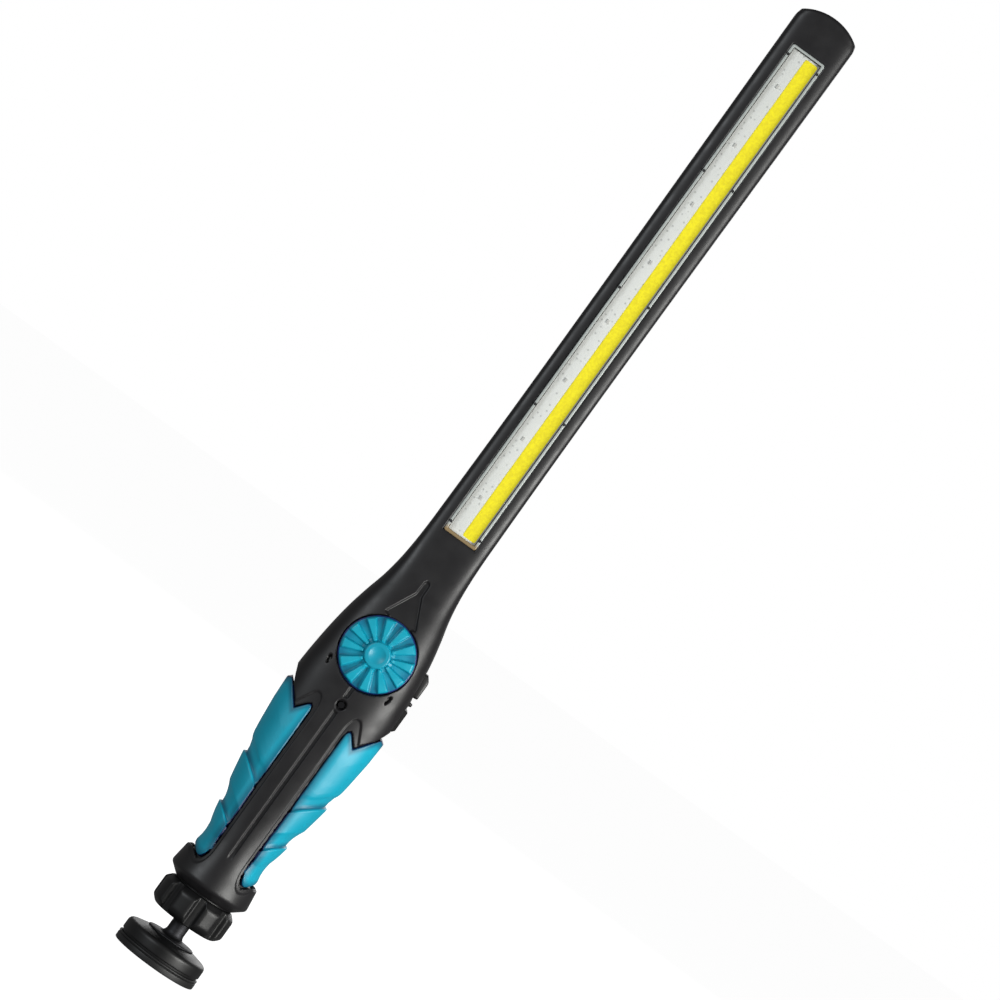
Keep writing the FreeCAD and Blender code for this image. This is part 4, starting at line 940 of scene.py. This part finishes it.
def make_knob():
    """The knob's face with its dished hub, valleys and ribs, on a flat back."""
    segments = 360
    rings = np.array([0.0, 0.6, 1.2, 1.8, 2.4, 2.9, 3.2, 3.4, 3.7, 4.2, 4.6, 4.85, 5.05, 5.3, 5.6, 6.0]
                     + list(np.linspace(6.4, 12.9, 26))
                     + [13.1, 13.3, 13.5, 13.65, 13.8, 13.9, 14.05, KNOB_RADIUS])
    angle = np.linspace(0, 2 * math.pi, segments, endpoint=False)
    radius, turn = np.meshgrid(rings, angle, indexing="ij")
    phase = (turn - FIRST_RIB) * KNOB_RIBS / (2 * math.pi)
    away = np.abs(phase - np.round(phase)) * (2 * math.pi / KNOB_RIBS) * radius
    half_width = 0.55 + 1.42 * np.clip((radius - 4.6) / 9.4, 0, 1)
    rib = smooth(0.38, -0.38, away - half_width)
    rim_fall = np.clip((radius - 12.9) / 1.0, 0, 1)
    valley = KNOB_VALLEY - 0.5 * smooth(7.0, 14.0, radius) + 0.75 * smooth(6.4, 5.0, radius)
    crest = KNOB_CREST + 0.35 * smooth(7.0, 4.9, radius) - 0.35 * smooth(10.0, 14.0, radius)
    crest = crest - 1.3 * rim_fall ** 2
    front = valley + (crest - valley) * rib * smooth(4.7, 5.6, radius)
    hub = smooth(5.1, 4.55, radius)
    front = front + (KNOB_HUB - front) * hub
    front = front - 0.75 * np.clip(1 - (radius / 3.2) ** 2, 0, 1)
    skirt = smooth(13.7, 13.95, radius)
    front = front + (KNOB_SKIRT - front) * skirt
    # Painted shade: a dark navy ring on the skirt, valleys darker towards the rim, a slightly darker hub,
    # the back fully shaded.
    painted_shade = skirt + (0.2 + 0.36 * smooth(9.0, 13.8, radius)) * (1 - rib) * (1 - hub) + 0.13 * hub
    painted_shade = np.clip(painted_shade, 0, 1)
    x = DIAL_X + radius * np.sin(turn)
    z = DIAL_Z + radius * np.cos(turn)
    face_points = np.stack([x, -front, z], axis=2).reshape(-1, 3)
    back_rim = np.stack([DIAL_X + KNOB_RADIUS * np.sin(angle), np.full(segments, -KNOB_BACK),
                         DIAL_Z + KNOB_RADIUS * np.cos(angle)], axis=1)
    back_centre = np.tile([DIAL_X, -KNOB_BACK, DIAL_Z], (segments, 1))
    verts = np.concatenate([face_points, back_rim, back_centre])
    rows = len(rings) + 2
    painted_shades = np.concatenate([painted_shade.reshape(-1), np.ones(2 * segments)])
    kept, faces = weld_ends(np.column_stack([verts, painted_shades]), ring_faces(rows, segments), rows, segments)
    add_piece("dimmer_knob_moulding", kept[:, :3], faces, "dimmer_knob", kept[:, 3], sharp=75.0)


make_knob()


# ---------------------------------------------------------------- the clamp nut and the foot

LOBES = 8
FIRST_LOBE = math.radians(6.0)
NUT_BORE, NUT_RADIUS, NUT_MOUTH = 11.08, 15.0, 8.9
NUT_LOW, NUT_HIGH = 18.4, 30.5


def make_nut():
    """The clamp nut, turned from its section, with finger lobes round its rim."""
    profile = rounded_path([(NUT_BORE, 24.0), (NUT_BORE, NUT_HIGH), (12.7, NUT_HIGH),
                            (NUT_RADIUS, NUT_HIGH - 2.3), (NUT_RADIUS, NUT_LOW + 2.3), (12.7, NUT_LOW),
                            (NUT_MOUTH, NUT_LOW), (NUT_MOUTH, 20.4), (NUT_BORE, 20.4),
                            (NUT_BORE, 24.0)], 1.1)

    def flutes(radius, angle):
        """Cuts the finger hollows between the lobes into the nut's rim."""
        phase = (angle - FIRST_LOBE) * LOBES / (2 * math.pi)
        away = np.abs(phase - np.round(phase)) * (2 * math.pi / LOBES) * 14.3
        limit = 13.3 + 1.75 * smooth(1.15, 2.6, away) - 0.25 * smooth(4.0, 2.2, away)
        return np.where(radius > 12.8, np.minimum(radius, limit), radius)

    lathe("clamp_nut_moulding", "clamp_nut", divided(profile, 0.6)[::-1], 400, modulate=flutes, sharp=48.0)


BALL_RADIUS, BALL_HEIGHT, STEM_RADIUS = 8.0, 27.0, 3.2
BOOT_RADIUS, CAP_RADIUS, CUP_RADIUS = 16.9, 16.6, 14.2
BOOT_TOP, CAP_TOP = 3.4, 10.6


def make_foot():
    """The rubber boot, the cap and the ball stud, each turned from its own section."""
    boot = rounded_path([(CUP_RADIUS, 1.7), (CUP_RADIUS, 0.0), (BOOT_RADIUS, 0.0), (BOOT_RADIUS, 2.25),
                         (16.45, 2.5), (BOOT_RADIUS, 2.75), (BOOT_RADIUS, BOOT_TOP),
                         (CUP_RADIUS, BOOT_TOP), (CUP_RADIUS, 1.7)], 0.45)[:-1]
    lathe("rubber_boot_moulding", "rubber_boot", boot)
    cap = rounded_path([(CUP_RADIUS, 5.0), (CUP_RADIUS, BOOT_TOP), (16.0, BOOT_TOP), (16.0, 4.3),
                        (16.4, 4.3), (CAP_RADIUS, 4.5), (CAP_RADIUS, 5.2)], 0.2)[:-1]
    cap += rounded_path([(CAP_RADIUS, 5.2), (CAP_RADIUS, 8.9), (9.7, CAP_TOP), (5.0, CAP_TOP)], 1.7, 9)
    cap += [(5.0, 8.0), (1.6, 8.0), (1.6, 6.6), (CUP_RADIUS, 6.6)]
    lathe("base_cap_moulding", "base_cap", cap)
    fillet = [(6.0 - 2.5 * math.sin(math.radians(a)), 13.7 - 2.5 * math.cos(math.radians(a)))
              for a in range(0, 91, 9)]
    ball = [(BALL_RADIUS * math.sin(a), BALL_HEIGHT - BALL_RADIUS * math.cos(a))
            for a in np.linspace(math.asin(STEM_RADIUS / BALL_RADIUS), math.pi, 40)]
    stem = [(0.0, 16.5), (1.55, 16.0), (1.55, 8.0), (5.0, 8.0), (5.0, CAP_TOP), (9.5, CAP_TOP),
            (9.6, 10.75), (9.5, 11.0), (9.2, 11.15)]
    stem += fillet + [(3.5, 17.3), (STEM_RADIUS, 18.8)] + ball[:-1] + [(0.0, BALL_HEIGHT + BALL_RADIUS)]
    lathe("ball_stud_turning", "ball_stud", stem, sharp=60.0)


make_nut()
make_foot()


# ---------------------------------------------------------------- the lamp

def loop_solid(name, stands_for, loops, sharp=45.0):
    """A solid skinned through rings of points, closed at both ends."""
    count = len(loops[0])
    faces = ring_faces(len(loops), count)
    faces.append(tuple(range(count))[::-1])
    last = (len(loops) - 1) * count
    faces.append(tuple(last + step for step in range(count)))
    add_piece(name, np.concatenate(loops), faces, stands_for, sharp=sharp)


def box_of(node):
    """A node's lowest and highest corners in millimetres."""
    low, high = (np.array(corner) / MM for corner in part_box(node))
    return low, high


CORNER_POINTS = 6


def rounded_rectangle(low, high, radius):
    """Corner points of a rectangle with round corners, counter-clockwise."""
    (x0, z0), (x1, z1) = low, high
    points = []
    for cx, cz, start in ((x1 - radius, z1 - radius, 0), (x0 + radius, z1 - radius, 90),
                          (x0 + radius, z0 + radius, 180), (x1 - radius, z0 + radius, 270)):
        for angle in np.linspace(start, start + 90, CORNER_POINTS):
            turn = math.radians(angle)
            points.append((cx + radius * math.cos(turn), cz + radius * math.sin(turn)))
    return points


def ring_at(low, high, inset, y, radius):
    """A rounded rectangle inside a box's XZ outline, at a given y."""
    outline = rounded_rectangle((low[0] + inset, low[2] + inset), (high[0] - inset, high[2] - inset), radius)
    return [(x, y, z) for x, z in outline]


def slab(name, node, radius, bevel):
    """A flat piece facing -Y that fills its node's box, with round corners and a bevelled front."""
    low, high = box_of(node)
    steps = ((0.0, high[1]), (0.0, low[1] + bevel), (bevel * 0.3, low[1] + bevel * 0.3), (bevel, low[1]))
    rings = [ring_at(low, high, inset, y, max(radius - inset, 0.05)) for inset, y in steps]
    loop_solid(name, node, rings, sharp=40.0)


FRAME_WIDTH = 1.3


def make_lamp():
    """The clear window, the lamp board, the lamp strip and the window's pale frame."""
    slab("led_lens_moulding", "led_lens", 0.4, 0.25)
    slab("led_board_panel", "led_board", 0.3, 0.1)
    low, high = box_of("cob_strip")
    rings = []
    for inset, rise in ((0.0, 0.0), (0.08, 0.3), (0.25, 0.5), (0.6, 0.6)):
        rings.append(ring_at(low, high, inset, high[1] + (low[1] - high[1]) * rise, 0.8))
    loop_solid("cob_strip_bead", "cob_strip", rings)

    low, high = box_of("lens_frame")
    rings, painted_shades = [], []
    # The last number of each ring is its painted shade: the frame's inner wall is painted fully shaded.
    for inset, y, painted_shade in ((0.0, high[1], 0.0), (0.0, low[1] + 0.3, 0.0), (0.12, low[1] + 0.1, 0.0),
                           (0.3, low[1], 0.0), (FRAME_WIDTH - 0.42, low[1], 0.0),
                           (FRAME_WIDTH - 0.3, low[1] + 0.06, 1.0), (FRAME_WIDTH, low[1] + 0.35, 1.0),
                           (FRAME_WIDTH, high[1], 1.0)):
        rings.append(ring_at(low, high, inset, y, max(0.9 - inset, 0.35)))
        painted_shades += [painted_shade] * len(rings[-1])
    faces = ring_faces(len(rings), len(rings[0]), closed=True)
    add_piece("lens_frame_moulding", np.concatenate(rings), faces, "lens_frame", painted_shades, sharp=40.0)


make_lamp()


# ---------------------------------------------------------------- the side controls

def make_button():
    """The button's cap, which fills its node's box and slopes back at its upper end."""
    low, high = box_of("power_button")
    rings = []
    for x, inset, top in ((low[0], 0.0, 0.0), (high[0] - 1.7, 0.0, 0.0), (high[0] - 0.9, 0.05, 1.0),
                          (high[0] - 0.35, 0.15, 1.7), (high[0] - 0.1, 0.35, 2.1), (high[0], 0.7, 2.5)):
        outline = rounded_rectangle((low[1] + inset, low[2] + inset),
                                    (high[1] - inset, high[2] - inset - top), max(1.0 - inset, 0.2))
        rings.append([(x, y, z) for y, z in outline])
    loop_solid("power_button_moulding", "power_button", rings, sharp=40.0)


make_button()
